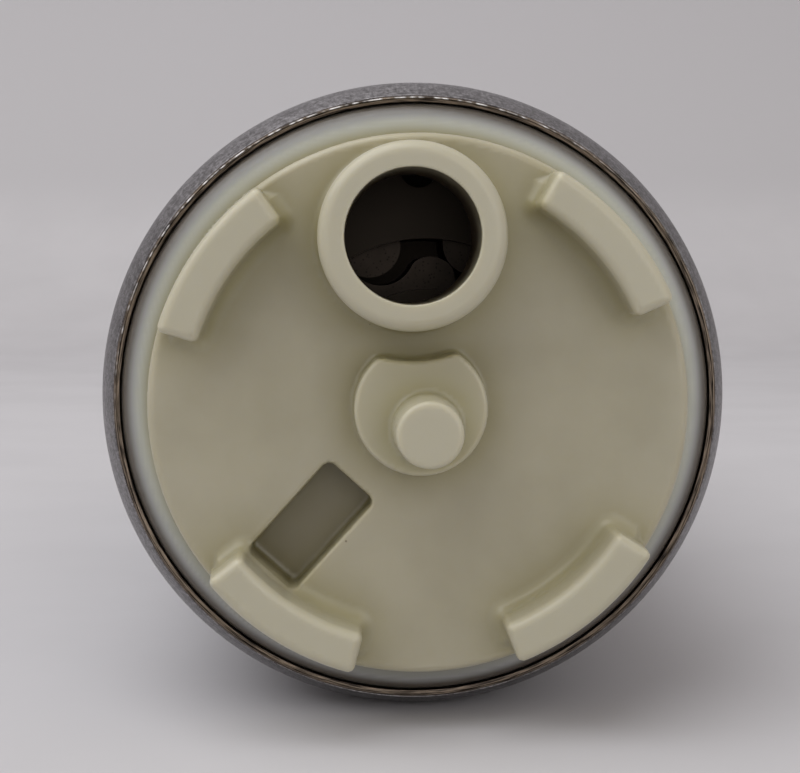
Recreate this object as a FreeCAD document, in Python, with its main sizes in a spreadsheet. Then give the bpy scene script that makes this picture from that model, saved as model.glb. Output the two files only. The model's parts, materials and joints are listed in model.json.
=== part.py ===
import FreeCAD, Part
import math
import os
import re
import Sketcher
from FreeCAD import Placement, Rotation, Vector

# In-tank fuel pump: a steel can with a gerotor pump at the inlet end and a motor behind it.
# The pump axis is Y and the inlet end faces -Y. Stations are distances along the axis from the
# can's inlet lip, positive towards the outlet. Bearings turn from the side of the inlet tube,
# clockwise as seen from the inlet end. The origin is on the axis, halfway along the can.

doc = FreeCAD.newDocument("FuelPump")

# Driving dimensions: name, millimetres or degrees (or a count), what it is.
dimensions = [
    ("roll", 3.3, "how far the pump lies rolled from having the tube straight above the axis"),
    ("seat_gap", 0.05, "gap between the inner pieces and the can"),
    ("press_gap", 0.01, "gap drawn between pieces pressed together"),
    ("running_gap", 0.03, "radial gap of a running fit"),
    ("end_gap", 0.02, "gap at each flat face that turns or slides on another"),
    ("cut_margin", 1.0, "how far a cutting shape runs past what it cuts"),
    ("can_radius", 19.5, "outside of the can"),
    ("can_length", 96, "can from lip to lip"),
    ("can_wall", 0.8, "sheet of the can"),
    ("crimp_depth", 2.6, "length of each rolled-in end"),
    ("crimp_reach", 1.0, "how far the outside is rolled in at the lip"),
    ("crimp_bend", 6, "radius of the bend into the rolled end"),
    ("inner_crimp", 3.08, "length of each rolled-in end, inside the sheet"),
    ("lip_width", 0.45, "cut face of the rolled lip"),
    ("rim_gap", 0.65, "dark gap between the rolled lip and a cap's rim"),
    ("rim_step", 1.6, "inlet cap's disc in from its rim"),
    ("disc_height", 4.3, "disc face in front of the lip"),
    ("disc_edge", 0.45, "rounded edge of the disc"),
    ("cap_wall", 2.5, "moulded wall of both caps"),
    ("rim_height", 0.8, "step ring in front of the lip"),
    ("rim_edge", 0.6, "rounded edge of the step ring"),
    ("rim_land", 1.0, "station where the rim meets the rolled wall"),
    ("cap_depth", 6.5, "station of the inlet cap's back face"),
    ("seal_start", 3.6, "station of the inlet seal's groove"),
    ("seal_width", 2.0, "groove for a seal ring"),
    ("seal_radius", 0.88, "half the section of a seal ring"),
    ("boss_radius", 3.8, "boss in the middle of the disc"),
    ("boss_height", 2.5, "boss above the disc"),
    ("ferrule_radius", 7.0, "space kept round the tube for a strainer's ferrule"),
    ("small_edge", 0.35, "rounded edge of boss and post"),
    ("tube_radius", 5.25, "outside of the inlet tube"),
    ("tube_bore", 3.76, "bore of the inlet tube"),
    ("tube_height", 5.1, "tube above the disc"),
    ("tube_offset", 9.75, "tube from the pump axis"),
    ("tube_edge", 0.7, "rounded edge of the tube"),
    ("post_radius", 1.85, "tip of the locating post"),
    ("post_root", 2.0, "root of the locating post"),
    ("post_height", 4.1, "post above the boss"),
    ("post_offset", 1.1, "post from the pump axis"),
    ("post_bearing", 166, "bearing of the post"),
    ("lug_height", 3.4, "arc lugs above the disc"),
    ("lug_inset", 0.2, "lugs in from the disc's edge"),
    ("lug_foot", 1.0, "how far a lug's foot stands in the disc"),
    ("lug_thickness", 2.2, "lug across the arc"),
    ("lug_edge", 0.65, "rounded edge of the lugs"),
    ("lug_span", 37, "angle along one lug"),
    ("upper_lug_bearing", 51.4, "middle of the lugs on the tube's side"),
    ("lower_lug_bearing", 143.7, "middle of the other lugs"),
    ("recess_width", 3.65, "rectangular recess across"),
    ("recess_length", 7.15, "rectangular recess along the radius"),
    ("recess_depth", 2.5, "rectangular recess into the disc"),
    ("recess_offset", 9.425, "middle of the recess from the axis"),
    ("recess_bearing", -134.6, "bearing of the recess"),
    ("recess_edge", 0.5, "rounded corners of the recess"),
    ("chamber_inner", 5.6, "inlet chamber, near side"),
    ("chamber_wall", 1.84, "wall between inlet chamber and seal groove"),
    ("chamber_span", 120, "angle along the inlet chamber"),
    ("plate_thickness", 1.5, "inlet port plate"),
    ("port_inner", 6.6, "near edge of both ports"),
    ("port_span", 130, "angle along each port"),
    ("inner_teeth", 8, "teeth of the inner rotor (a count)"),
    ("eccentricity", 0.9, "outer rotor's axis from the pump axis"),
    ("lobe_circle", 10.1, "circle of the outer rotor's lobes"),
    ("lobe_radius", 2.07, "round of one lobe"),
    ("mesh_gap", 0.05, "gap between the two rotors' flanks"),
    ("flank_points", 24, "points that draw one tooth of the inner rotor (a count)"),
    ("rotor_width", 8, "both rotors along the axis"),
    ("outer_rotor_radius", 12.3, "outside of the outer rotor"),
    ("rotor_angle", 31.5, "how far the armature is turned at rest"),
    ("dowel_radius", 1.2, "dowel pins"),
    ("dowel_circle", 14.4, "dowels from the pump axis"),
    ("dowel_bearing", 5, "bearing of the upper dowel"),
    ("dowel_sink", 1.0, "dowel's end below the port plate's face"),
    ("dowel_depth", 3.0, "dowel hole in the pump base"),
    ("base_thickness", 5, "pump base"),
    ("hub_radius", 6, "bearing hub on the pump base"),
    ("hub_height", 1.6, "hub behind the pump base"),
    ("shaft_radius", 2.0, "armature shaft"),
    ("shaft_nose", 1.0, "shaft's front end behind the inner rotor's face"),
    ("shaft_tail", 1.0, "shaft's rear end behind the brush holder"),
    ("shaft_chamfer", 0.3, "chamfer of both shaft ends"),
    ("shaft_end_gap", 0.15, "space round the shaft's rear end"),
    ("shaft_flat", 0.5, "depth of the drive flat"),
    ("coupling_radius", 4.5, "drive coupling"),
    ("coupling_flats", 3.6, "each flat of the coupling from the axis"),
    ("coupling_length", 3.15, "drive coupling along the shaft"),
    ("bearing_radius", 4.0, "outside of both bearing bushes"),
    ("rear_bearing_sink", 0.6, "rear bush behind the brush holder's front face"),
    ("washer_radius", 3.4, "thrust washers"),
    ("washer_thickness", 0.5, "thrust washers"),
    ("turns_gap", 0.3, "front washer to the winding's end"),
    ("turns_height", 3.6, "winding's end beyond the core"),
    ("turns_inner", 5.6, "inside of the winding's end"),
    ("turns_inset", 1.0, "winding's end in from the core's outside"),
    ("turns_round", 1.4, "rounded edge of the winding's end"),
    ("turns_joint", 0.5, "how far the coils in the slots run into the winding's ends"),
    ("insulator_thickness", 0.9, "end insulators"),
    ("slot_count", 8, "slots of the core (a count)"),
    ("slot_bottom", 6.0, "bottom of a slot from the axis"),
    ("tooth_tip", 1.4, "tip of a tooth beyond its slot"),
    ("slot_mouth", 1.8, "opening of a slot"),
    ("tooth_width", 2.2, "tooth between two slots"),
    ("slot_liner", 0.15, "gap between winding and slot"),
    ("commutator_radius", 9.2, "commutator's moulded base"),
    ("commutator_hub", 3.0, "commutator base along the shaft"),
    ("segment_inner", 3.6, "inner end of a segment"),
    ("segment_inset", 0.2, "segments in from the base's edge"),
    ("segment_thickness", 1.8, "copper segments"),
    ("segment_gap", 0.6, "gap between segments"),
    ("air_gap", 0.6, "between core and magnets"),
    ("magnet_thickness", 4.04, "arc magnets"),
    ("magnet_overhang", 4.0, "magnets beyond each end of the core"),
    ("magnet_span", 130, "angle along one magnet"),
    ("flux_wall", 2.0, "flux ring"),
    ("clip_wall", 0.6, "spring clips between the magnets"),
    ("clip_leg", 2.6, "legs of a clip"),
    ("clip_leg_span", 2.2, "angle across one leg of a clip"),
    ("clip_slack", 0.6, "angle left between a clip and both magnets"),
    ("clip_length", 30, "clip along the axis"),
    ("brush_across", 5.0, "brush across the radius"),
    ("brush_radial", 4.0, "brush along the radius"),
    ("brush_length", 9.0, "brush along its guide"),
    ("brush_offset", 6.5, "brush from the pump axis"),
    ("brush_travel", 3.0, "how far a brush can slide back"),
    ("holder_start", 3.4, "brush holder behind the commutator's face"),
    ("holder_thickness", 6.6, "brush holder"),
    ("holder_port_inner", 5.2, "fuel opening in the brush holder"),
    ("holder_port_outer", 12.4, "fuel opening in the brush holder"),
    ("holder_port_span", 70, "fuel opening in the brush holder"),
    ("spring_radius", 1.55, "brush spring, to the middle of its wire"),
    ("spring_wire", 0.16, "half the brush spring's wire"),
    ("spring_coils", 7, "coils of each spring (a count)"),
    ("spring_pocket", 5.0, "depth of the round spring pocket"),
    ("lead_radius", 0.45, "braided brush lead"),
    ("lead_slack", 0.15, "space beside a brush lead"),
    ("lead_place", 5.5, "brush leads from the upright plane through the pump axis"),
    ("lead_setback", 1.2, "brush lead from the brush's back"),
    ("terminal_width", 2.8, "terminal blade across"),
    ("terminal_thickness", 0.8, "terminal blade"),
    ("terminal_spacing", 10.2, "between the blades' middles"),
    ("terminal_drop", 6.0, "blades from the pump axis"),
    ("terminal_foot", 3.5, "blade's root below the outlet cap's front face"),
    ("terminal_tip", 1.5, "blade's tip below the socket's mouth"),
    ("socket_width", 16.4, "inside of the electrical socket"),
    ("socket_height", 6.4, "inside of the electrical socket"),
    ("socket_wall", 1.5, "electrical socket"),
    ("socket_depth", 9.5, "electrical socket above the outlet cap"),
    ("socket_edge", 1.0, "rounded corners of the electrical socket"),
    ("outlet_step", 0.9, "outlet cap's disc in from its rim"),
    ("outlet_depth", 16.77, "outlet cap inside the can"),
    ("outlet_height", 2.5, "outlet cap's face beyond the lip"),
    ("outlet_seal_place", 8.0, "outlet seal's groove before the outlet lip"),
    ("nipple_offset", 9.0, "outlet nipple from the pump axis"),
    ("nipple_radius", 3.75, "neck of the outlet nipple"),
    ("nipple_length", 18.1, "outlet nipple beyond the outlet cap"),
    ("nipple_bore", 2.4, "bore of the outlet nipple"),
    ("nipple_neck", 6.0, "plain neck of the nipple"),
    ("barb_radius", 4.4, "crest of a barb"),
    ("barb_pitch", 3.6, "from barb to barb"),
    ("barb_slope", 2.7, "sloping part of a barb"),
    ("barb_count", 3, "barbs of the nipple (a count)"),
    ("nipple_tip_radius", 3.3, "tip of the nipple"),
    ("valve_chamber", 3.45, "check valve's chamber"),
    ("valve_depth", 17.27, "check valve's chamber from the cap's front face"),
    ("valve_seat_radius", 1.7, "hole of the valve seat"),
    ("valve_seat_start", 1.0, "valve seat behind the cap's front face"),
    ("valve_seat_thickness", 3.0, "valve seat"),
    ("seat_chamfer", 0.3, "chamfer of the valve seat"),
    ("poppet_radius", 2.6, "check valve's head"),
    ("poppet_head", 1.8, "check valve's head along its axis"),
    ("poppet_cone", 1.3, "cone of the check valve"),
    ("poppet_nose", 0.4, "tip of the check valve's cone"),
    ("poppet_gap", 0.25, "root of the cone from the seat's hole"),
    ("poppet_stem", 0.9, "stem of the check valve"),
    ("stem_guided", 1.0, "stem inside its guide while the valve is shut"),
    ("cage_thickness", 2.0, "guide of the check valve"),
    ("cage_hole", 0.6, "fuel holes of the guide"),
    ("cage_hole_circle", 2.65, "fuel holes from the guide's middle"),
    ("cage_hole_count", 6, "fuel holes of the guide (a count)"),
    ("valve_spring_radius", 1.75, "check valve spring, to the middle of its wire"),
    ("valve_spring_wire", 0.2, "half the check valve spring's wire"),
    ("relief_inset", 6.35, "relief valve in from the caps' outside"),
    ("relief_bearing", 65, "bearing of the relief valve"),
    ("relief_passage", 1.2, "hole under the relief ball"),
    ("relief_seat", 4.0, "relief seat behind the cap's front face"),
    ("relief_chamber", 2.4, "relief valve's chamber"),
    ("ball_radius", 1.6, "relief ball"),
    ("plug_sink", 1.0, "relief plug below the cap's outer face"),
    ("plug_thickness", 3.5, "relief plug"),
    ("plug_hole", 0.9, "hole through the relief plug"),
    ("relief_spring_radius", 1.25, "relief spring, to the middle of its wire"),
    ("relief_spring_wire", 0.18, "half the relief spring's wire"),
]

sheet = doc.addObject("Spreadsheet::Sheet", "Sizes")
for row, (alias, size, note) in enumerate(dimensions, start=1):
    sheet.set(f"A{row}", alias)
    sheet.set(f"B{row}", str(size))
    sheet.set(f"C{row}", note)
    sheet.setAlias(f"B{row}", alias)
doc.recompute()
aliases = {alias for alias, size, note in dimensions}

# Places that several pieces share, written from the driving dimensions.
bore = "(can_radius - can_wall)"
stack = f"({bore} - seat_gap)"
lip_outer = "(can_radius - crimp_reach)"
lip_inner = f"({lip_outer} - lip_width)"
rim_radius = f"({lip_inner} - rim_gap)"
disc_radius = f"({rim_radius} - rim_step)"
outlet_disc_radius = f"({rim_radius} - outlet_step)"
disc_face = "(-disc_height)"
boss_face = "(-disc_height - boss_height)"
tube_tip = "(-disc_height - tube_height)"
plate_end = "(cap_depth + plate_thickness)"
rotor_end = f"({plate_end} + rotor_width)"
base_end = f"({rotor_end} + base_thickness)"
hub_end = f"({base_end} + hub_height)"
cavity_radius = "(lobe_circle - lobe_radius + 2 * eccentricity + mesh_gap)"
turns_start = f"({hub_end} + end_gap + washer_thickness + turns_gap)"
front_insulator = f"({turns_start} + turns_height)"
core_start = f"({front_insulator} + insulator_thickness)"
holder_back = "(can_length - outlet_depth)"
holder_front = f"({holder_back} - holder_thickness)"
commutator_face = f"({holder_front} - holder_start)"
segments_start = f"({commutator_face} - segment_thickness)"
turns_end = f"({segments_start} - commutator_hub - press_gap)"
rear_insulator_end = f"({turns_end} - turns_height)"
core_end = f"({rear_insulator_end} - insulator_thickness)"
magnet_start = f"({core_start} - magnet_overhang)"
magnet_end = f"({core_end} + magnet_overhang)"
flux_inner = f"({stack} - flux_wall)"
magnet_outer = f"({flux_inner} - press_gap)"
magnet_inner = f"({magnet_outer} - magnet_thickness)"
core_radius = f"({magnet_inner} - air_gap)"
slot_top = f"({core_radius} - tooth_tip)"
turns_outer = f"({core_radius} - turns_inset)"
brush_start = f"({commutator_face} + end_gap)"
brush_back = f"({brush_start} + brush_length)"
rear_bearing_start = f"({holder_front} + rear_bearing_sink)"
outlet_face = "(can_length + outlet_height)"
socket_mouth = f"({outlet_face} + socket_depth)"
seal_floor = f"({bore} - 2 * seal_radius - 2 * seat_gap)"
chamber_outer = f"({seal_floor} - chamber_wall)"
relief_offset = f"({stack} - relief_inset)"
valve_seat_end = f"({holder_back} + valve_seat_start + valve_seat_thickness)"
poppet_back = f"({valve_seat_end} + end_gap + poppet_head)"
cage_end = f"({holder_back} + valve_depth)"
cage_start = f"({cage_end} - cage_thickness)"
relief_seat_face = f"({holder_back} + relief_seat)"
plug_end = f"({outlet_face} - plug_sink)"
plug_start = f"({plug_end} - plug_thickness)"


def bound(text):
    """The same expression with each dimension's name pointing at its cell."""
    return re.sub(r"[a-z_]+", lambda word: "Sizes." + word[0] if word[0] in aliases else word[0], text)


def number(text):
    return float(sheet.evalExpression(bound(text)))


def bind(thing, path, text):
    thing.setExpression(path, bound(text))


def new_body(name):
    body = doc.addObject("PartDesign::Body", name)
    body.Label = name
    return body


def place(thing, radius="0", bearing="0", turn="0"):
    """Put a piece on the pump: its own axis at a radius and bearing, turned clockwise."""
    thing.Placement = Placement(Vector(), Rotation(Vector(0, 1, 0), 1))
    bind(thing, "Placement.Base.x", f"{radius} * sin({bearing} - roll)")
    bind(thing, "Placement.Base.y", "-can_length / 2")
    bind(thing, "Placement.Base.z", f"{radius} * cos({bearing} - roll)")
    bind(thing, "Placement.Rotation.Angle", f"{turn} - roll")


def origin_plane(body, role):
    return next(plane for plane in body.Origin.OriginFeatures if plane.Role == role)


def axial_sketch(body, name, bearing="90", across="0", up="0"):
    """A sketch in a plane through an axis: x is the radius at that bearing, y the station."""
    sketch = body.newObject("Sketcher::SketchObject", name)
    sketch.AttachmentSupport = (origin_plane(body, "XY_Plane"), "")
    sketch.MapMode = "FlatFace"
    sketch.AttachmentOffset = Placement(Vector(), Rotation(Vector(0, 1, 0), 1))
    bind(sketch, ".AttachmentOffset.Base.x", across)
    bind(sketch, ".AttachmentOffset.Base.z", up)
    bind(sketch, ".AttachmentOffset.Rotation.Angle", f"({bearing}) - 90")
    return sketch


def cross_sketch(body, name, station, bearing="0"):
    """A sketch square to the pump axis: x is across, y is out along the bearing."""
    sketch = body.newObject("Sketcher::SketchObject", name)
    sketch.AttachmentSupport = (origin_plane(body, "XZ_Plane"), "")
    sketch.MapMode = "FlatFace"
    sketch.AttachmentOffset = Placement(Vector(), Rotation(Vector(0, 0, 1), 1))
    bind(sketch, ".AttachmentOffset.Base.z", f"-({station})")
    bind(sketch, ".AttachmentOffset.Rotation.Angle", f"-({bearing})")
    return sketch


def fix_point(sketch, part, end, across, up):
    """Hold a point at its distances from the sketch's axes, or at one where the other is None."""
    for kind, axis, text in (("DistanceX", -2, across), ("DistanceY", -1, up)):
        if text is None:
            continue
        size = number(text)
        if abs(size) < 1e-9:
            sketch.addConstraint(Sketcher.Constraint("PointOnObject", part, end, axis))
        elif size > 0:
            index = sketch.addConstraint(Sketcher.Constraint(kind, -1, 1, part, end, size))
            bind(sketch, f"Constraints[{index}]", text)
        else:
            index = sketch.addConstraint(Sketcher.Constraint(kind, part, end, -1, 1, -size))
            bind(sketch, f"Constraints[{index}]", f"-({text})")


def sketch_point(corner):
    return Vector(number(corner[0]), number(corner[1]), 0)


def arc_between(start, end, middle):
    """The short arc about a middle point, and whether it runs clockwise from start to end."""
    circle = Part.Circle(middle, Vector(0, 0, 1), middle.distanceToPoint(start))
    clockwise = (start - middle).cross(end - middle).z < 0
    first, last = (end, start) if clockwise else (start, end)
    return Part.ArcOfCircle(circle, circle.parameter(first), circle.parameter(last)), clockwise


def draw_loop(sketch, corners):
    """A closed outline through the given corners. Straight lines join them, and a corner with a
    third entry starts a quarter arc about that middle point."""
    points = [sketch_point(corner) for corner in corners]
    count = len(points)
    ends = []
    for i, corner in enumerate(corners):
        following = points[(i + 1) % count]
        if len(corner) == 3:
            arc, clockwise = arc_between(points[i], following, sketch_point(corner[2]))
            sketch.addGeometry(arc, False)
            ends.append((2, 1) if clockwise else (1, 2))
        else:
            sketch.addGeometry(Part.LineSegment(points[i], following), False)
            ends.append((1, 2))
    for i in range(count):
        following = (i + 1) % count
        join = Sketcher.Constraint("Coincident", i, ends[i][1], following, ends[following][0])
        sketch.addConstraint(join)
    for i, corner in enumerate(corners):
        across, up = corner[:2]
        before = corners[i - 1]
        if len(before) == 3:
            level = abs(sketch_point(before[2]).y - points[i].y) < 1e-9
            across, up = (None, up) if level else (across, None)
        fix_point(sketch, i, ends[i][0], across, up)
        if len(corner) == 3:
            fix_point(sketch, i, 3, *corner[2])


def draw_circle(sketch, radius, across="0", up="0"):
    middle = Vector(number(across), number(up), 0)
    circle = sketch.addGeometry(Part.Circle(middle, Vector(0, 0, 1), number(radius)), False)
    index = sketch.addConstraint(Sketcher.Constraint("Radius", circle, number(radius)))
    bind(sketch, f"Constraints[{index}]", radius)
    fix_point(sketch, circle, 3, across, up)


def revolve(body, name, corners, kind="Revolution", span="360", bearing="90", across="0", up="0"):
    """Turn an outline about an axis, all the way or over a span centred on the bearing."""
    sketch = axial_sketch(body, name + "_sketch", bearing, across, up)
    draw_loop(sketch, corners)
    feature = body.newObject("PartDesign::" + kind, name)
    feature.Profile = sketch
    feature.ReferenceAxis = (sketch, ["V_Axis"])
    feature.Midplane = span != "360"
    bind(feature, "Angle", span)
    doc.recompute()
    return feature


def extrude(body, name, sketch, start, end, kind):
    """Give a cross sketch at the start station its length towards the outlet."""
    feature = body.newObject("PartDesign::" + kind, name)
    feature.Profile = sketch
    feature.Reversed = kind == "Pad"
    bind(feature, "Length", f"({end}) - ({start})")
    doc.recompute()
    return feature


def round_bar(body, name, radius, start, end, kind="Pad", across="0", up="0", bearing="0"):
    sketch = cross_sketch(body, name + "_sketch", start, bearing)
    draw_circle(sketch, radius, across, up)
    return extrude(body, name, sketch, start, end, kind)


def prism(body, name, corners, start, end, kind="Pad", bearing="0"):
    sketch = cross_sketch(body, name + "_sketch", start, bearing)
    draw_loop(sketch, corners)
    return extrude(body, name, sketch, start, end, kind)


def box(inner, outer, low, high):
    """The corners of a rectangle, in order round it."""
    return [(inner, low), (outer, low), (outer, high), (inner, high)]


def centred(width, height, across="0", up="0"):
    return box(f"{across} - ({width}) / 2", f"{across} + ({width}) / 2",
               f"{up} - ({height}) / 2", f"{up} + ({height}) / 2")


def rounded_box(width, height, edge, up="0"):
    """A rectangle centred across, with its four corners rounded."""
    right = f"({width}) / 2"
    inner_right = f"({width}) / 2 - {edge}"
    left = f"-({width}) / 2"
    inner_left = f"{edge} - ({width}) / 2"
    low = f"{up} - ({height}) / 2"
    inner_low = f"{low} + {edge}"
    high = f"{up} + ({height}) / 2"
    inner_high = f"{high} - {edge}"
    return [
        (inner_left, low), (inner_right, low, (inner_right, inner_low)),
        (right, inner_low), (right, inner_high, (inner_right, inner_high)),
        (inner_right, high), (inner_left, high, (inner_left, inner_high)),
        (left, inner_high), (left, inner_low, (inner_left, inner_low)),
    ]


def repeat(body, name, feature, count):
    """Copy a feature round the body's own axis."""
    pattern = body.newObject("PartDesign::PolarPattern", name)
    pattern.Originals = [feature]
    pattern.Axis = (origin_plane(body, "Y_Axis"), [""])
    pattern.Angle = 360
    bind(pattern, "Occurrences", count)
    body.Tip = pattern
    doc.recompute()
    return pattern


def round_edges(body, name, radius, chosen, kind="Fillet"):
    """Round every edge of the body's last shape that the test picks out."""
    base = body.Tip
    edges = [f"Edge{i}" for i, edge in enumerate(base.Shape.Edges, start=1) if chosen(edge)]
    if not edges:
        raise ValueError(f"{name} finds no edge")
    feature = body.newObject("PartDesign::" + kind, name)
    feature.Base = (base, edges)
    bind(feature, "Radius" if kind == "Fillet" else "Size", radius)
    doc.recompute()
    if "Invalid" in feature.State:
        raise ValueError(f"{name} failed on {len(edges)} edges")
    return feature


def is_ring(edge, radius, station, tolerance=0.01):
    """True for a round edge of this radius at this station."""
    if edge.Degenerated or not at_station(edge, station, tolerance):
        return False
    curve = edge.Curve
    return isinstance(curve, Part.Circle) and abs(curve.Radius - number(radius)) < tolerance


def runs_along(edge, start, end, tolerance=0.01):
    """True for a straight edge along the axis between two stations."""
    limits = edge.BoundBox
    return (limits.XLength < tolerance and limits.ZLength < tolerance
            and abs(limits.YMin - number(start)) < tolerance
            and abs(limits.YMax - number(end)) < tolerance)


def at_station(edge, station, tolerance=0.01):
    """True for an edge that lies all at one station."""
    limits = edge.BoundBox
    level = number(station)
    return abs(limits.YMin - level) < tolerance and abs(limits.YMax - level) < tolerance


def turned_part(name, corners, radius="0", bearing="0", turn="0"):
    """A whole piece turned about its own axis."""
    body = new_body(name)
    revolve(body, name + "_turned", corners)
    place(body, radius, bearing, turn)
    return body


def shape_part(name, shape, radius="0", bearing="0", turn="0"):
    """A piece whose shape comes from a formula."""
    thing = doc.addObject("Part::Feature", name)
    thing.Label = name
    thing.Shape = shape
    place(thing, radius, bearing, turn)
    return thing


# Can and inlet cap

def make_can():
    body = new_body("can")
    corners = [
        (lip_inner, "0"), (lip_outer, "0"), ("can_radius", "crimp_depth"),
        ("can_radius", "can_length - crimp_depth"), (lip_outer, "can_length"),
        (lip_inner, "can_length"), (bore, "can_length - inner_crimp"), (bore, "inner_crimp"),
    ]
    revolve(body, "can_tube", corners)
    far_bend = "can_length - crimp_depth"
    round_edges(body, "can_shoulders", "crimp_bend", lambda edge: is_ring(edge, "can_radius", "crimp_depth")
                or is_ring(edge, "can_radius", far_bend))
    place(body)


def crimped_rim(land):
    """Radius at which a cap's rim meets the rolled wall, one seat gap inside it."""
    rise = f"({bore} - {lip_inner})"
    return f"({lip_inner} + {rise} * {land} / inner_crimp - seat_gap)"


def make_lugs(body):
    """Four arc lugs, rounded while they stand alone, with their feet in the disc to come."""
    outer = f"({disc_radius} - lug_inset)"
    inner = f"({outer} - lug_thickness)"
    face = f"({disc_face} - lug_height)"
    foot = f"({disc_face} + lug_foot)"
    for side in (1, -1):
        for which in ("upper", "lower"):
            revolve(body, f"{which}_lug_{'right' if side > 0 else 'left'}", box(inner, outer, face, foot),
                    span="lug_span", bearing=f"{side} * {which}_lug_bearing")
    round_edges(body, "lug_corner_rounding", "lug_edge", lambda edge: runs_along(edge, face, foot))
    round_edges(body, "lug_rounding", "lug_edge", lambda edge: at_station(edge, face))


def make_inlet_cap():
    body = new_body("inlet_cap")
    seal_end = "seal_start + seal_width"
    make_lugs(body)
    edge_middle = (f"{disc_radius} - disc_edge", f"{disc_face} + disc_edge")
    corners = [
        ("0", disc_face), (f"{disc_radius} - disc_edge", disc_face, edge_middle),
        (disc_radius, f"{disc_face} + disc_edge"), (disc_radius, "-rim_height"),
        (rim_radius, "-rim_height"), (rim_radius, "rim_land"),
        (crimped_rim("rim_land"), "rim_land"), (stack, "inner_crimp"), (stack, "seal_start"),
        (seal_floor, "seal_start"), (seal_floor, seal_end), (stack, seal_end), (stack, "cap_depth"),
        ("0", "cap_depth"),
    ]
    revolve(body, "cap_disc", corners)
    round_edges(body, "rim_rounding", "rim_edge", lambda edge: is_ring(edge, rim_radius, "-rim_height"))
    round_bar(body, "boss", "boss_radius", boss_face, disc_face)
    round_edges(body, "boss_rounding", "small_edge", lambda edge: is_ring(edge, "boss_radius", boss_face))
    round_bar(body, "ferrule_space", "ferrule_radius", f"{boss_face} - cut_margin", disc_face, "Pocket",
              up="tube_offset")
    revolve(body, "inlet_tube", box("0", "tube_radius", tube_tip, disc_face), up="tube_offset")
    round_edges(body, "tube_rounding", "tube_edge", lambda edge: is_ring(edge, "tube_radius", tube_tip))
    post_tip = f"{boss_face} - post_height"
    post_across = "post_offset * sin(post_bearing)"
    post_up = "post_offset * cos(post_bearing)"
    post = [("0", post_tip), ("post_radius", post_tip), ("post_root", boss_face), ("0", boss_face)]
    revolve(body, "locating_post", post, across=post_across, up=post_up)
    round_edges(body, "post_rounding", "small_edge", lambda edge: is_ring(edge, "post_radius", post_tip))
    recess = centred("recess_width", "recess_length", up="recess_offset")
    recess_floor = f"{disc_face} + recess_depth"
    prism(body, "recess", recess, disc_face, recess_floor, "Pocket", bearing="recess_bearing")
    round_edges(body, "recess_rounding", "recess_edge",
                lambda edge: runs_along(edge, disc_face, recess_floor))
    revolve(body, "inlet_chamber",
            box("chamber_inner", chamber_outer, f"{disc_face} + cap_wall", "cap_depth"),
            kind="Groove", span="chamber_span", bearing="0")
    round_bar(body, "inlet_bore", "tube_bore", tube_tip, f"{disc_face} + cap_wall", "Pocket",
              up="tube_offset")
    place(body)


def make_seal_ring(name, middle):
    ring = doc.addObject("Part::Torus", name)
    ring.Label = name
    bind(ring, "Radius1", f"{bore} - seat_gap - seal_radius")
    bind(ring, "Radius2", "seal_radius")
    ring.Placement = Placement(Vector(), Rotation(Vector(1, 0, 0), -90))
    bind(ring, "Placement.Base.y", f"{middle} - can_length / 2")


# Pump section

def drill_dowel_holes(body, start, end):
    for number_of_hole, bearing in enumerate(("dowel_bearing", "dowel_bearing + 180"), start=1):
        round_bar(body, f"dowel_hole_{number_of_hole}", "dowel_radius + press_gap", start, end, "Pocket",
                  up="dowel_circle", bearing=bearing)


def cut_port(body, start, end, bearing):
    """An arc port round the outer rotor's axis."""
    revolve(body, "port", box("port_inner", cavity_radius, start, end), kind="Groove",
            span="port_span", bearing=bearing, across="eccentricity")


def make_inlet_port_plate():
    body = new_body("inlet_port_plate")
    revolve(body, "plate_disc", box("0", stack, "cap_depth", plate_end))
    cut_port(body, "cap_depth", plate_end, "0")
    drill_dowel_holes(body, "cap_depth", plate_end)
    place(body)


def make_pump_ring():
    body = new_body("pump_ring")
    revolve(body, "ring_disc", box("0", stack, plate_end, rotor_end))
    round_bar(body, "ring_bore", "outer_rotor_radius + seat_gap", plate_end, rotor_end, "Pocket",
              across="eccentricity")
    drill_dowel_holes(body, plate_end, rotor_end)
    place(body)


def make_outer_rotor():
    """A ring with one more round lobe than the inner rotor has teeth."""
    body = new_body("outer_rotor")
    start = f"{plate_end} + end_gap"
    end = f"{rotor_end} - end_gap"
    revolve(body, "rotor_ring", box(cavity_radius, "outer_rotor_radius", start, end))
    lobe = round_bar(body, "lobe", "lobe_radius", start, end, across="lobe_circle")
    repeat(body, "lobes", lobe, "inner_teeth + 1")
    place(body, "eccentricity", "90", "-rotor_angle * inner_teeth / (inner_teeth + 1)")


def inner_rotor_outline(samples):
    """Points of the inner rotor's flank. A lobe's centre, seen from the inner rotor, runs on the
    curve with x = R cos a + e cos((n + 1) a) and y = R sin a + e sin((n + 1) a). The flank lies one
    lobe radius and one mesh gap inside that curve."""
    circle = number("lobe_circle")
    offset = number("eccentricity")
    lobes = number("inner_teeth + 1")
    inset = number("lobe_radius + mesh_gap")
    points = []
    for step in range(samples):
        angle = 2 * math.pi * step / samples
        along_x = -circle * math.sin(angle) - lobes * offset * math.sin(lobes * angle)
        along_y = circle * math.cos(angle) + lobes * offset * math.cos(lobes * angle)
        length = math.hypot(along_x, along_y)
        x = circle * math.cos(angle) + offset * math.cos(lobes * angle) - inset * along_y / length
        y = circle * math.sin(angle) + offset * math.sin(lobes * angle) + inset * along_x / length
        points.append(Vector(x, 0, y))
    return points


def cylinder_shape(radius, start, end):
    """A plain cylinder on the pump axis between two stations, from numbers."""
    return Part.makeCylinder(radius, end - start, Vector(0, start, 0), Vector(0, 1, 0))


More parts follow.
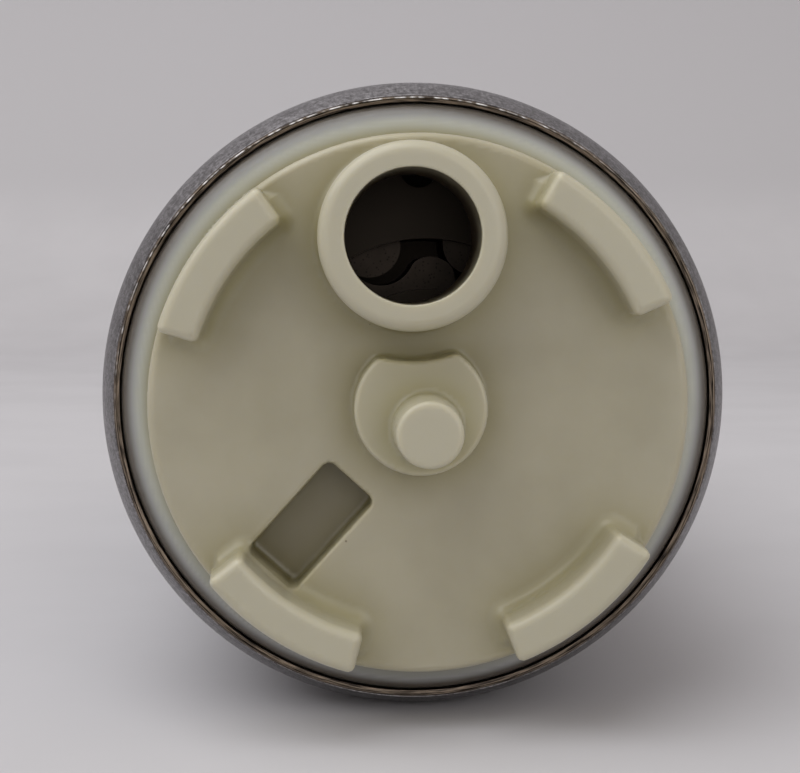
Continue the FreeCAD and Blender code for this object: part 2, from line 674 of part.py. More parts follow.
def coupling_shape(gap, start, end):
    """A round bar with two flats, larger all round by the gap."""
    radius = number("coupling_radius") + gap
    flats = number("coupling_flats") + gap
    bar = cylinder_shape(radius, start, end)
    slab = Part.makeBox(2 * flats, end - start, 2 * radius, Vector(-flats, start, -radius))
    return bar.common(slab)


def make_inner_rotor():
    start = number(f"{plate_end} + end_gap")
    end = number(f"{rotor_end} - end_gap")
    curve = Part.BSplineCurve()
    curve.interpolate(inner_rotor_outline(int(number("inner_teeth * flank_points"))), PeriodicFlag=True)
    face = Part.Face(Part.Wire([curve.toShape()]))
    body = face.extrude(Vector(0, end - start, 0))
    body.translate(Vector(0, start, 0))
    margin = number("cut_margin")
    body = body.cut(cylinder_shape(number("shaft_radius + press_gap"), start - margin, end + margin))
    recess_start = end - number("coupling_length + 2 * end_gap")
    body = body.cut(coupling_shape(number("seat_gap"), recess_start, end + margin))
    shape_part("inner_rotor", body, turn="-rotor_angle")


def shaft_hole_shape(start, end):
    """The shaft's round with its drive flat, one press gap larger."""
    radius = number("shaft_radius + press_gap")
    flat = number("shaft_radius - shaft_flat + press_gap")
    bar = cylinder_shape(radius, start, end)
    slab = Part.makeBox(2 * radius, end - start, radius + flat, Vector(-radius, start, -radius))
    return bar.common(slab)


def make_drive_coupling():
    end = number(f"{rotor_end} - 2 * end_gap")
    start = end - number("coupling_length")
    margin = number("cut_margin")
    shape = coupling_shape(0, start, end).cut(shaft_hole_shape(start - margin, end + margin))
    shape_part("drive_coupling", shape, turn="-rotor_angle")


def make_pump_base():
    body = new_body("pump_base")
    corners = [
        ("bearing_radius + press_gap", rotor_end), (stack, rotor_end), (stack, base_end),
        ("hub_radius", base_end), ("hub_radius", hub_end), ("bearing_radius + press_gap", hub_end),
    ]
    revolve(body, "base_disc", corners)
    cut_port(body, rotor_end, base_end, "180")
    drill_dowel_holes(body, rotor_end, f"{rotor_end} + dowel_depth")
    place(body)


def make_dowel_pins():
    body = new_body("dowel_pins")
    start = "cap_depth + dowel_sink"
    end = f"{rotor_end} + dowel_depth - end_gap"
    round_bar(body, "upper_dowel", "dowel_radius", start, end, up="dowel_circle", bearing="dowel_bearing")
    round_bar(body, "lower_dowel", "dowel_radius", start, end, up="dowel_circle",
              bearing="dowel_bearing + 180")
    place(body)


def make_bush(name, start, end):
    turned_part(name, box("shaft_radius + running_gap", "bearing_radius", start, end))


# Armature

def make_shaft():
    body = new_body("armature_shaft")
    start = f"{plate_end} + shaft_nose"
    end = f"{holder_back} + shaft_tail"
    round_bar(body, "shaft_bar", "shaft_radius", start, end)
    round_edges(body, "shaft_ends", "shaft_chamfer", lambda edge: is_ring(edge, "shaft_radius", start)
                or is_ring(edge, "shaft_radius", end), kind="Chamfer")
    flat = "shaft_radius - shaft_flat"
    prism(body, "drive_flat", box("-shaft_radius", "shaft_radius", flat, "2 * shaft_radius"),
          start, rotor_end, "Pocket")
    place(body, turn="-rotor_angle")


def make_washer(name, start):
    end = f"{start} + washer_thickness"
    turned_part(name, box("shaft_radius + press_gap", "washer_radius", start, end), turn="-rotor_angle")


def slot_corners(liner, bottom, top):
    """One slot of the core between two teeth with parallel flanks."""
    half_pitch = "(180 / slot_count)"

    def half_width(radius):
        return f"(({radius}) * tan({half_pitch}) - tooth_width / 2 / cos({half_pitch}) - {liner})"

    return [(f"-{half_width(bottom)}", bottom), (half_width(bottom), bottom),
            (half_width(top), top), (f"-{half_width(top)}", top)]


def make_core_disc(name, radius, start, end):
    """The core's outline, used by the laminated stack and by its end insulators."""
    body = new_body(name)
    revolve(body, name + "_disc", box("shaft_radius + press_gap", radius, start, end))
    slot = prism(body, name + "_slot", slot_corners("0", "slot_bottom", slot_top), start, end, "Pocket")
    repeat(body, name + "_slots", slot, "slot_count")
    mouth = box("-slot_mouth / 2", "slot_mouth / 2", f"{slot_top} - slot_liner", f"{radius} + cut_margin")
    opening = prism(body, name + "_mouth", mouth, start, end, "Pocket")
    repeat(body, name + "_mouths", opening, "slot_count")
    place(body, turn="-rotor_angle")


def make_windings():
    """Coils filling the slots, with a rounded bundle of end turns at each end of the core."""
    body = new_body("armature_windings")
    revolve(body, "front_turns", box("turns_inner", turns_outer, turns_start, front_insulator))
    revolve(body, "rear_turns", box("turns_inner", turns_outer, rear_insulator_end, turns_end))
    free_ends = (turns_start, turns_end)
    round_edges(body, "turns_rounding", "turns_round",
                lambda edge: any(at_station(edge, station) for station in free_ends))
    bar = prism(body, "slot_bar",
                slot_corners("slot_liner", "slot_bottom + slot_liner", f"{slot_top} - slot_liner"),
                f"{front_insulator} - turns_joint", f"{rear_insulator_end} + turns_joint")
    repeat(body, "slot_bars", bar, "slot_count")
    place(body, turn="-rotor_angle")


def make_commutator():
    base = f"{turns_end} + press_gap"
    corners = box("shaft_radius + press_gap", "commutator_radius", base, segments_start)
    turned_part("commutator_base", corners, turn="-rotor_angle")
    body = new_body("commutator_segments")
    edge = "commutator_radius - segment_inset"
    revolve(body, "segment_ring", box("segment_inner", edge, segments_start, commutator_face))
    gap = box("-segment_gap / 2", "segment_gap / 2", "segment_inner - cut_margin",
              "commutator_radius + cut_margin")
    first = prism(body, "segment_cut", gap, segments_start, commutator_face, "Pocket")
    repeat(body, "segment_cuts", first, "slot_count")
    place(body, turn="-rotor_angle")


# Motor case

def make_magnets():
    turned_part("flux_ring", box(flux_inner, stack, base_end, holder_front))
    for name, bearing in (("magnet_right", "90"), ("magnet_left", "-90")):
        body = new_body(name)
        revolve(body, name + "_arc", box(magnet_inner, magnet_outer, magnet_start, magnet_end),
                span="magnet_span", bearing=bearing)
        place(body)


def make_magnet_clips():
    """A bowed spring in each gap between the magnets, its two legs against their ends."""
    body = new_body("magnet_clips")
    middle = f"({magnet_start} + {magnet_end}) / 2"
    start = f"{middle} - clip_length / 2"
    end = f"{middle} + clip_length / 2"
    outer = f"({flux_inner} - press_gap)"
    gap_half = "(90 - magnet_span / 2)"
    for side, bearing in (("upper", "0"), ("lower", "180")):
        revolve(body, f"{side}_clip", box(f"{outer} - clip_wall", outer, start, end),
                span=f"2 * {gap_half} - clip_slack", bearing=bearing)
        for hand, sign in (("right", "1"), ("left", "-1")):
            leg = box(f"{outer} - clip_wall - clip_leg", f"{outer} - clip_wall / 2", start, end)
            revolve(body, f"{side}_{hand}_leg", leg, span="clip_leg_span",
                    bearing=f"{bearing} + {sign} * ({gap_half} - clip_slack / 2 - clip_leg_span / 2)")
    place(body)


# Brush end

def make_brush_holder():
    body = new_body("brush_holder")
    revolve(body, "holder_disc", box("bearing_radius + press_gap", stack, holder_front, holder_back))
    gap = "seat_gap"
    for name, bearing in (("positive", "90"), ("negative", "-90")):
        guide = centred(f"brush_across + 2 * {gap}", f"brush_radial + 2 * {gap}", up="brush_offset")
        prism(body, f"{name}_guide", guide, holder_front, holder_back, "Pocket", bearing=bearing)
        side = "1" if name == "positive" else "-1"
        blade = centred(f"terminal_width + 2 * {gap}", f"terminal_thickness + 2 * {gap}",
                        across=f"{side} * terminal_spacing / 2", up="-terminal_drop")
        foot = f"{holder_back} - terminal_foot - {gap}"
        prism(body, f"{name}_blade_slot", blade, foot, holder_back, "Pocket")
        lead = centred("2 * (lead_radius + lead_slack)", "terminal_drop - brush_across / 2 + seat_gap",
                       across=f"{side} * lead_place", up="-(terminal_drop + brush_across / 2) / 2")
        prism(body, f"{name}_lead_slot", lead, foot, holder_back, "Pocket")
    revolve(body, "fuel_opening", box("holder_port_inner", "holder_port_outer", holder_front, holder_back),
            kind="Groove", span="holder_port_span", bearing="0")
    round_bar(body, "relief_opening", "relief_chamber", holder_front, holder_back, "Pocket",
              up=relief_offset, bearing="relief_bearing")
    place(body)


def make_brush(name, bearing):
    body = new_body(name)
    prism(body, name + "_block", centred("brush_across", "brush_radial"), brush_start, brush_back)
    place(body, "brush_offset", bearing, bearing)


def spring_shape(radius, wire, start, end):
    """A round wire wound about the Y axis, with its ends just inside the two stations."""
    height = end - start - 2 * wire
    coils = number("spring_coils")
    helix = Part.makeHelix(height / coils, height, radius)
    profile = Part.Wire([Part.makeCircle(wire, Vector(radius, 0, 0), Vector(0, 1, 0))])
    coil = Part.Wire(helix).makePipeShell([profile], True, True)
    upright = Placement(Vector(0, start + wire, 0), Rotation(Vector(1, 0, 0), -90))
    return coil.transformed(upright.toMatrix(), copy=True)


def make_brush_spring(name, bearing):
    shape = spring_shape(number("spring_radius"), number("spring_wire"),
                         number(f"{brush_back} + 2 * end_gap"),
                         number(f"{holder_back} + brush_travel + spring_pocket - end_gap"))
    shape_part(name, shape, "brush_offset", bearing, bearing)


def make_brush_lead(name, side):
    """A short braided lead from the brush's flank to its terminal."""
    body = new_body(name)
    sketch = axial_sketch(body, name + "_sketch", up="-brush_across / 2 - press_gap")
    draw_circle(sketch, "lead_radius", f"{side} * lead_place", f"{brush_back} - lead_setback")
    tube = body.newObject("PartDesign::Pad", name + "_tube")
    tube.Profile = sketch
    tube.Reversed = True
    bind(tube, "Length", "terminal_drop - terminal_thickness / 2 - brush_across / 2 - 2 * press_gap")
    doc.recompute()
    place(body)


def make_terminal(name, side):
    body = new_body(name)
    blade = centred("terminal_width", "terminal_thickness", across=f"{side} * terminal_spacing / 2",
                    up="-terminal_drop")
    prism(body, name + "_blade", blade, f"{holder_back} - terminal_foot",
          f"{socket_mouth} - terminal_tip")
    place(body)


# Outlet end

def make_outlet_cap():
    body = new_body("outlet_cap")
    from_lip = "can_length"
    groove_start = f"{from_lip} - outlet_seal_place"
    groove_end = f"{groove_start} + seal_width"
    land = f"{from_lip} - rim_land"
    corners = [
        ("0", holder_back), (stack, holder_back), (stack, groove_start), (seal_floor, groove_start),
        (seal_floor, groove_end), (stack, groove_end), (stack, f"{from_lip} - inner_crimp"),
        (crimped_rim("rim_land"), land), (rim_radius, land), (rim_radius, "can_length"),
        (outlet_disc_radius, "can_length"), (outlet_disc_radius, outlet_face), ("0", outlet_face),
    ]
    revolve(body, "outlet_disc", corners)
    round_edges(body, "outlet_disc_rounding", "disc_edge",
                lambda edge: is_ring(edge, outlet_disc_radius, outlet_face))
    make_nipple(body)
    make_socket(body)
    for name, bearing in (("positive", "90"), ("negative", "-90")):
        guide = centred("brush_across + 2 * seat_gap", "brush_radial + 2 * seat_gap", up="brush_offset")
        guide_end = f"{holder_back} + brush_travel"
        prism(body, f"{name}_guide_end", guide, holder_back, guide_end, "Pocket", bearing=bearing)
        round_bar(body, f"{name}_spring_pocket", "spring_radius + spring_wire + 2 * seat_gap",
                  guide_end, f"{guide_end} + spring_pocket", "Pocket", up="brush_offset", bearing=bearing)
    round_bar(body, "shaft_space", "shaft_radius + shaft_end_gap", holder_back,
              f"{holder_back} + shaft_tail + 4 * shaft_end_gap", "Pocket")
    round_bar(body, "valve_chamber_bore", "valve_chamber", holder_back, cage_end, "Pocket",
              up="nipple_offset")
    round_bar(body, "nipple_bore_hole", "nipple_bore", cage_end, f"{outlet_face} + nipple_length",
              "Pocket", up="nipple_offset")
    round_bar(body, "relief_passage_bore", "relief_passage", holder_back, relief_seat_face, "Pocket",
              up=relief_offset, bearing="relief_bearing")
    round_bar(body, "relief_chamber_bore", "relief_chamber", relief_seat_face, outlet_face, "Pocket",
              up=relief_offset, bearing="relief_bearing")
    place(body)


def make_nipple(body):
    """The hose nipple: a plain neck, then barbs that slope towards the tip."""
    tip = f"({outlet_face} + nipple_length)"
    corners = [("0", outlet_face), ("nipple_radius", outlet_face)]
    for barb in range(int(number("barb_count"))):
        foot = f"{outlet_face} + nipple_neck + {barb} * barb_pitch"
        corners += [("nipple_radius", foot), ("barb_radius", foot)]
        if barb < int(number("barb_count")) - 1:
            corners += [("nipple_radius", f"{foot} + barb_slope")]
    corners += [("nipple_tip_radius", tip), ("0", tip)]
    revolve(body, "outlet_nipple", corners, up="nipple_offset")


def make_socket(body):
    """The electrical socket round the two blades, open towards +Y."""
    outside = rounded_box("socket_width + 2 * socket_wall", "socket_height + 2 * socket_wall",
                          "socket_edge", up="-terminal_drop")
    prism(body, "socket_shroud", outside, outlet_face, socket_mouth)
    inside = centred("socket_width", "socket_height", up="-terminal_drop")
    prism(body, "socket_inside", inside, outlet_face, socket_mouth, "Pocket")
    for name, side in (("positive", "1"), ("negative", "-1")):
        blade = centred("terminal_width + 2 * press_gap", "terminal_thickness + 2 * press_gap",
                        across=f"{side} * terminal_spacing / 2", up="-terminal_drop")
        prism(body, f"{name}_blade_hole", blade, holder_back, outlet_face, "Pocket")


def make_check_valve():
    radius = "valve_chamber - press_gap"
    seat_start = f"{holder_back} + valve_seat_start"
    turned_part("check_valve_seat", [
        ("valve_seat_radius", seat_start), (radius, seat_start), (radius, valve_seat_end),
        ("valve_seat_radius + seat_chamfer", valve_seat_end),
        ("valve_seat_radius", f"{valve_seat_end} - seat_chamfer")],
        "nipple_offset")
    head_start = f"{valve_seat_end} + end_gap"
    nose = f"{head_start} - poppet_cone"
    stem_end = f"{cage_start} + stem_guided"
    turned_part("check_valve_poppet", [
        ("0", nose), ("poppet_nose", nose), ("valve_seat_radius - poppet_gap", head_start),
        ("poppet_radius", head_start),
        ("poppet_radius", poppet_back), ("poppet_stem", poppet_back), ("poppet_stem", stem_end),
        ("0", stem_end)],
        "nipple_offset")
    body = new_body("check_valve_cage")
    revolve(body, "cage_disc", box("poppet_stem + 2 * running_gap", radius, cage_start,
                                   f"{cage_end} - press_gap"))
    hole = round_bar(body, "cage_fuel_hole", "cage_hole", cage_start, cage_end, "Pocket",
                     up="cage_hole_circle")
    repeat(body, "cage_fuel_holes", hole, "cage_hole_count")
    place(body, "nipple_offset")
    shape = spring_shape(number("valve_spring_radius"), number("valve_spring_wire"),
                         number(f"{poppet_back} + end_gap"), number(f"{cage_start} - end_gap"))
    shape_part("check_valve_spring", shape, "nipple_offset")


def make_relief_valve():
    ball = doc.addObject("Part::Sphere", "relief_valve_ball")
    ball.Label = "relief_valve_ball"
    bind(ball, "Radius", "ball_radius")
    rise = "sqrt(ball_radius * ball_radius - relief_passage * relief_passage)"
    ball_middle = f"({relief_seat_face} + {rise} + end_gap)"
    bind(ball, "Placement.Base.x", f"{relief_offset} * sin(relief_bearing - roll)")
    bind(ball, "Placement.Base.y", f"{ball_middle} - can_length / 2")
    bind(ball, "Placement.Base.z", f"{relief_offset} * cos(relief_bearing - roll)")
    turned_part("relief_valve_plug",
                box("plug_hole", "relief_chamber - press_gap", plug_start, plug_end),
                relief_offset, "relief_bearing")
    reach = "(ball_radius + relief_spring_wire)"
    hold = f"(sqrt({reach} * {reach} - relief_spring_radius * relief_spring_radius) - relief_spring_wire)"
    shape = spring_shape(number("relief_spring_radius"), number("relief_spring_wire"),
                         number(f"{ball_middle} + {hold} + end_gap"), number(f"{plug_start} - end_gap"))
    shape_part("relief_valve_spring", shape, relief_offset, "relief_bearing")


def make_all():
    make_can()
    make_inlet_cap()
    make_seal_ring("inlet_seal_ring", "(seal_start + seal_width / 2)")
    make_inlet_port_plate()
    make_pump_ring()
    make_outer_rotor()
    make_inner_rotor()
    make_drive_coupling()
    make_pump_base()
    make_dowel_pins()
    make_bush("front_bearing", rotor_end, hub_end)
    make_shaft()
    make_washer("front_thrust_washer", f"{hub_end} + end_gap")
    make_core_disc("front_insulator", f"{core_radius} - end_gap", front_insulator, core_start)
    make_core_disc("armature_core", core_radius, core_start, core_end)
    make_windings()
    make_core_disc("rear_insulator", f"{core_radius} - end_gap", core_end, rear_insulator_end)
    make_commutator()
    make_washer("rear_thrust_washer", f"{rear_bearing_start} - end_gap - washer_thickness")
    make_bush("rear_bearing", rear_bearing_start, holder_back)
    make_magnets()
    make_magnet_clips()
    make_brush_holder()
    for pole, side, bearing in (("positive", 1, "90"), ("negative", -1, "-90")):
        make_brush(f"brush_{pole}", bearing)
        make_brush_spring(f"brush_spring_{pole}", bearing)
        make_brush_lead(f"brush_lead_{pole}", side)
        make_terminal(f"terminal_{pole}", side)
    make_outlet_cap()
    make_seal_ring("outlet_seal_ring", "(can_length - outlet_seal_place + seal_width / 2)")
    make_check_valve()
    make_relief_valve()


def check_feature(body, feature):
    """A pad or revolution adds material, a pocket or groove takes some away."""
    base = feature.BaseFeature
    before = base.Shape.Volume if base else 0
    change = feature.Shape.Volume - before
    kind = feature.TypeId
    if kind in ("PartDesign::Pad", "PartDesign::Revolution") and change < 0.001:
        raise ValueError(f"{body.Label}: {feature.Name} adds nothing")
    if kind in ("PartDesign::Pocket", "PartDesign::Groove") and change > -0.001:
        raise ValueError(f"{body.Label}: {feature.Name} cuts nothing")


def check_document():
    for thing in doc.Objects:
        if {"Invalid", "Error"} & set(thing.State):
            raise ValueError(f"{thing.Name} failed: {thing.State}")
    for body in doc.findObjects("PartDesign::Body"):
        for feature in body.Group:
            if feature.isDerivedFrom("PartDesign::Feature"):
                check_feature(body, feature)


def pieces():
    """Every piece of the pump: the bodies, and the pieces that stand outside a body."""
    inside = {feature.Name for body in doc.findObjects("PartDesign::Body") for feature in body.Group}
    return [thing for thing in doc.Objects
            if thing.isDerivedFrom("Part::Feature") and thing.Name not in inside]


def export_all():
    os.makedirs("parts", exist_ok=True)
    for piece in pieces():
        if piece.Shape.isNull() or not piece.Shape.isValid():
            raise ValueError(f"{piece.Label} has no valid shape")
    for piece in pieces():
        piece.Shape.exportStep(f"parts/{piece.Label}.step")
    print(len(pieces()), "pieces written")


make_all()
doc.recompute()
check_document()
export_all()
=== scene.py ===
import json
import math

import bmesh
import bpy
import numpy as np
from mathutils.geometry import delaunay_2d_cdt
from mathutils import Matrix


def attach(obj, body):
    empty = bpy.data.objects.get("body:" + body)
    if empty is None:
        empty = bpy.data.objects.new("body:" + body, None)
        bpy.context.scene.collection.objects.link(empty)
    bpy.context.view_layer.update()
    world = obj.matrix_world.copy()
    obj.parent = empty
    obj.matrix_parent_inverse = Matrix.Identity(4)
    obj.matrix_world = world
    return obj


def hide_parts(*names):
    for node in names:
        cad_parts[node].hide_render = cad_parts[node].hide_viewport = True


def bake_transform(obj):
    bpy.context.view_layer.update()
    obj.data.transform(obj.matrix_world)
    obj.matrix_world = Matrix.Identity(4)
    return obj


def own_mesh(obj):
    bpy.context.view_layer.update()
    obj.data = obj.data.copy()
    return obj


# An in-tank fuel pump on a pale table, seen from its inlet end.
# Pieces are worked out in millimetres on the pump's own axes: across, up towards the inlet tube,
# and the station along the pump axis from the can's inlet lip. onPump puts them in the frame.

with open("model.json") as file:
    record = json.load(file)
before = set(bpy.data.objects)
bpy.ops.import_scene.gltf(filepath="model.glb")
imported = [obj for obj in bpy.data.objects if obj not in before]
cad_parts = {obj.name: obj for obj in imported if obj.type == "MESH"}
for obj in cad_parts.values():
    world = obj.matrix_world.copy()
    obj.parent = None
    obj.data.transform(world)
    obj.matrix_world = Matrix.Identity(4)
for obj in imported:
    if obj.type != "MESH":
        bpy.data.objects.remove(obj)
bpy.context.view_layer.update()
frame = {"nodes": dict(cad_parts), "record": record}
nodes = frame["nodes"]
print("frame loaded:", len(nodes), "nodes")

pump = {
    "roll": 3.3,            # degrees the pump lies rolled
    "lipStation": 48.0,     # millimetres from the inlet lip to the frame's origin
    "millimetre": 0.001,
}


def rolled(across, up, along, degrees):
    # Across and up turned by an angle about the pump's axis, as x, along and z.
    roll = math.radians(degrees)
    x = across * math.cos(roll) - up * math.sin(roll)
    z = up * math.cos(roll) + across * math.sin(roll)
    return np.stack(np.broadcast_arrays(x, along, z), axis=-1).reshape(-1, 3)


def onPump(across, up, station):
    # The pump's millimetres as the frame's metres.
    return rolled(across, up, station - pump["lipStation"], pump["roll"]) * pump["millimetre"]


def offPump(mesh):
    # A mesh's points back in the pump's millimetres, as rows of across, up and station.
    spots = np.empty(len(mesh.vertices) * 3, np.float32)
    mesh.vertices.foreach_get("co", spots)
    x, y, z = spots.reshape(-1, 3).T.astype(float) / pump["millimetre"]
    across, station, up = rolled(x, z, y + pump["lipStation"], -pump["roll"]).T
    return np.stack([across, up, station])


def giveMask(piece, name, values):
    # One number per point, kept with the mesh, that a finish reads by its name.
    mask = piece.data.attributes.new(name, "FLOAT", "POINT")
    mask.data.foreach_set("value", np.ascontiguousarray(values, np.float32))


def meshFrom(name, points, faces):
    mesh = bpy.data.meshes.new(name)
    mesh.vertices.add(len(points))
    mesh.vertices.foreach_set("co", np.asarray(points, np.float32).ravel())
    mesh.loops.add(faces.size)
    mesh.loops.foreach_set("vertex_index", faces.astype(np.int32).ravel())
    mesh.polygons.add(len(faces))
    corners = faces.shape[1]
    mesh.polygons.foreach_set("loop_start", np.arange(len(faces), dtype=np.int32) * corners)
    mesh.polygons.foreach_set("use_smooth", np.full(len(faces), True))
    mesh.update(calc_edges=True)
    piece = bpy.data.objects.new(name, mesh)
    bpy.context.scene.collection.objects.link(piece)
    return piece


def bearings(segments):
    return np.linspace(0, 2 * np.pi, segments, endpoint=False)


def turnedSurface(name, profile, segments, up=0.0, wander=0.0):
    # A closed profile of radius and station carried round an axis: a point is at radius times
    # sine of the bearing across, and up + radius times its cosine.
    # Wander moves each point's station, row by row and bearing by bearing.
    bearing = bearings(segments)
    radius, station = profile[:, 0], profile[:, 1]
    points = onPump(np.outer(radius, np.sin(bearing)), up + np.outer(radius, np.cos(bearing)),
                    np.repeat(station[:, None], segments, axis=1) + wander)
    row = np.arange(len(profile))[:, None] * segments
    nextRow = np.roll(row, -1, axis=0)
    turn = np.arange(segments)[None, :]
    nextTurn = np.roll(turn, -1)
    faces = np.stack([row + turn, row + nextTurn, nextRow + nextTurn, nextRow + turn], axis=-1)
    return meshFrom(name, points, faces.reshape(-1, 4))


def roundedProfile(corners):
    # A closed outline of (radius, station, rounding, and the arc's points where they aren't five):
    # each corner becomes an arc that touches both of its sides, with its middle on the bisector.
    points = np.array([corner[:2] for corner in corners], float)
    pieces = []
    for i, corner in enumerate(corners):
        here, before, after = points[i], points[i - 1], points[(i + 1) % len(points)]
        if corner[2] == 0:
            pieces.append(here[None])
            continue
        back = (before - here) / np.linalg.norm(before - here)
        on = (after - here) / np.linalg.norm(after - here)
        half = math.acos(np.clip(back @ on, -1, 1)) / 2
        reach = corner[2] / math.tan(half)
        middle = here + (back + on) / np.linalg.norm(back + on) * corner[2] / math.sin(half)
        share = np.linspace(0, 1, corner[3] if len(corner) > 3 else 5)[:, None]
        chord = (here + back * reach) * (1 - share) + (here + on * reach) * share - middle
        pieces.append(middle + chord / np.linalg.norm(chord, axis=1)[:, None] * corner[2])
    return np.concatenate(pieces)


def finerProfile(profile, longest):
    # Points put in on every side of a closed profile that is longer than the given length.
    following = np.roll(profile, -1, axis=0)
    pieces = []
    for start, end in zip(profile, following):
        count = max(1, math.ceil(np.linalg.norm(end - start) / longest))
        share = np.arange(count)[:, None] / count
        pieces.append(start + (end - start) * share)
    return np.concatenate(pieces)


# Fields: below nought inside a shape, above nought outside, about the distance in millimetres.

def roundJoin(first, second, radius):
    # Union of two fields whose inner corner is filled with an arc of the radius.
    filled = np.hypot(np.maximum(radius - first, 0), np.maximum(radius - second, 0))
    return np.maximum(radius, np.minimum(first, second)) - filled


def roundMeet(first, second, radius):
    # What two fields share, with the outer edge rounded to the radius.
    rounded = np.hypot(np.maximum(radius + first, 0), np.maximum(radius + second, 0))
    return np.minimum(-radius, np.maximum(first, second)) + rounded


def roundCut(first, second, radius):
    # The first field without the second, with the rim of the cut rounded.
    return roundMeet(first, -second, radius)


def slab(value, low, high):
    return np.maximum(low - value, value - high)


def rectangle(across, up, width, height, corner):
    # A rounded rectangle's distance: the length outside its inner rectangle less the corner.
    sideways = np.abs(across) - width / 2 + corner
    upward = np.abs(up) - height / 2 + corner
    outside = np.hypot(np.maximum(sideways, 0), np.maximum(upward, 0))
    return outside + np.minimum(np.maximum(sideways, upward), 0) - corner


def sector(across, up, bearing, span):
    # Distance past the nearer end of a span of bearings, in degrees: radius times the sine.
    radius = np.hypot(across, up)
    turned = np.arctan2(across, up) - math.radians(bearing)
    past = np.abs((turned + np.pi) % (2 * np.pi) - np.pi) - math.radians(span) / 2
    return np.where(past > np.pi / 2, radius, radius * np.sin(past))


def alongBearing(across, up, bearing, offset=0.0):
    # The same point seen from a place out along a bearing: sideways, and out from it.
    turn = math.radians(bearing)
    sideways = across * math.cos(turn) - up * math.sin(turn)
    outward = across * math.sin(turn) + up * math.cos(turn) - offset
    return sideways, outward


def slopeOf(field, point, step=0.004):
    # How fast the field grows along each axis, from a small step each way.
    return np.stack([(field(*(point + move)) - field(*(point - move))) / (2 * step)
                     for move in np.eye(3)[:, :, None] * step])


def outwardAt(field, point):
    slope = slopeOf(field, point)
    return slope / np.linalg.norm(slope, axis=0)


# The crevice measure below is used to paint shade: its mask darkens moulded plastic where it is closed in.
crevice = {"lean": 0.9, "distances": (1.2, 2.4, 4.0)}


def creviceOf(field, point):
    # How closed in a place is: one less the mean of the field at a few distances along lines that
    # lean six ways from the outward one, each as a share of what it is over an open plane.
    outward = outwardAt(field, point)
    free = []
    for lean in np.concatenate([np.eye(3), -np.eye(3)])[:, :, None] * crevice["lean"]:
        way = (outward + lean) / np.linalg.norm(outward + lean, axis=0)
        rise = (way * outward).sum(axis=0)
        free += [np.clip(field(*(point + way * far)) / (far * rise), 0, 1) for far in crevice["distances"]]
    return 1 - np.mean(free, axis=0)


# A surface net's values in millimetres: the steps taken onto the level, the least slope squared
# that a step divides by, the decimals kept, the rise below which a face is flat, the least
# crevice that keeps a point in a flat face, and twice the least area a flat group may have.
net = {"steps": 7, "leastSlope": 0.05, "decimals": 3, "flat": 1e-5, "shaded": 0.08, "leastArea": 5e-7}


def fieldSurface(name, field, across, up, station, shadedEnd):
    # A surface net: one point in each grid cell that the field's nought level crosses, moved onto
    # the level along the field's slope, and one face round each grid edge that crosses it. Flat
    # places nearer the inlet than shadedEnd keep the grid points that the crevice mask's painted
    # shade darkens.
    level = field(across.astype(np.float32)[:, None, None], up.astype(np.float32)[None, :, None],
                  station.astype(np.float32)[None, None, :])
    inside = level < 0
    cells = tuple(size - 1 for size in inside.shape)
    filled = np.zeros(cells, np.int8)
    for i, j, k in np.ndindex(2, 2, 2):
        filled += inside[i:i + cells[0], j:j + cells[1], k:k + cells[2]]
    crossed = (filled > 0) & (filled < 8)
    index = np.full(cells, -1, np.int64)
    index[crossed] = np.arange(crossed.sum())
    i, j, k = np.nonzero(crossed)
    low = np.stack([across[i], up[j], station[k]])
    high = np.stack([across[i + 1], up[j + 1], station[k + 1]])
    point = (low + high) / 2
    for _ in range(net["steps"]):
        value, slope = field(*point), slopeOf(field, point)
        steep = np.maximum((slope ** 2).sum(axis=0), net["leastSlope"])
        point = np.clip(point - value * slope / steep, low, high)
    quads = []
    for order in ((0, 1, 2), (1, 2, 0), (2, 0, 1)):
        turned = inside.transpose(order)
        cell = index.transpose(order)
        start, end = turned[:-1, 1:-1, 1:-1], turned[1:, 1:-1, 1:-1]
        a, b, c = np.nonzero(start != end)
        quad = np.stack([cell[a, b, c], cell[a, b + 1, c],
                         cell[a, b + 1, c + 1], cell[a, b, c + 1]], axis=1)
        quads.append(np.where(start[a, b, c][:, None], quad[:, ::-1], quad))
    point, place = np.unique(np.round(point, net["decimals"]), axis=1, return_inverse=True)
    quads = place.ravel()[np.concatenate(quads)]
    faces = np.concatenate([quads[:, [0, 1, 2]], quads[:, [0, 2, 3]]])
    faces = faces[(faces != np.roll(faces, 1, axis=1)).all(axis=1)]
    raised = np.ptp(point[2][faces], axis=1) > net["flat"]
    shaded = np.setdiff1d(faces[~raised], faces[raised])
    closed = creviceOf(field, point[:, shaded]) > net["shaded"]
    shaded = shaded[(point[2][shaded] < shadedEnd) & closed]
    faces = np.concatenate([faces[raised], flatFaces(field, point, faces[raised], shaded)])
    used, faces = np.unique(faces, return_inverse=True)
    piece = meshFrom(name, onPump(*point[:, used]), faces.reshape(-1, 3))
    point = offPump(piece.data)
    outward = outwardAt(field, point)
    piece.data.normals_split_custom_set_from_vertices(rolled(*outward, pump["roll"]))
    # The crevice mask: painted shade in corners and hollows.
    giveMask(piece, "crevice", creviceOf(field, point))
    print(name, "worked out:", len(piece.data.polygons), "triangles")
    return piece


def edgeKeys(start, end, count):
    return np.minimum(start, end) * count + np.maximum(start, end)


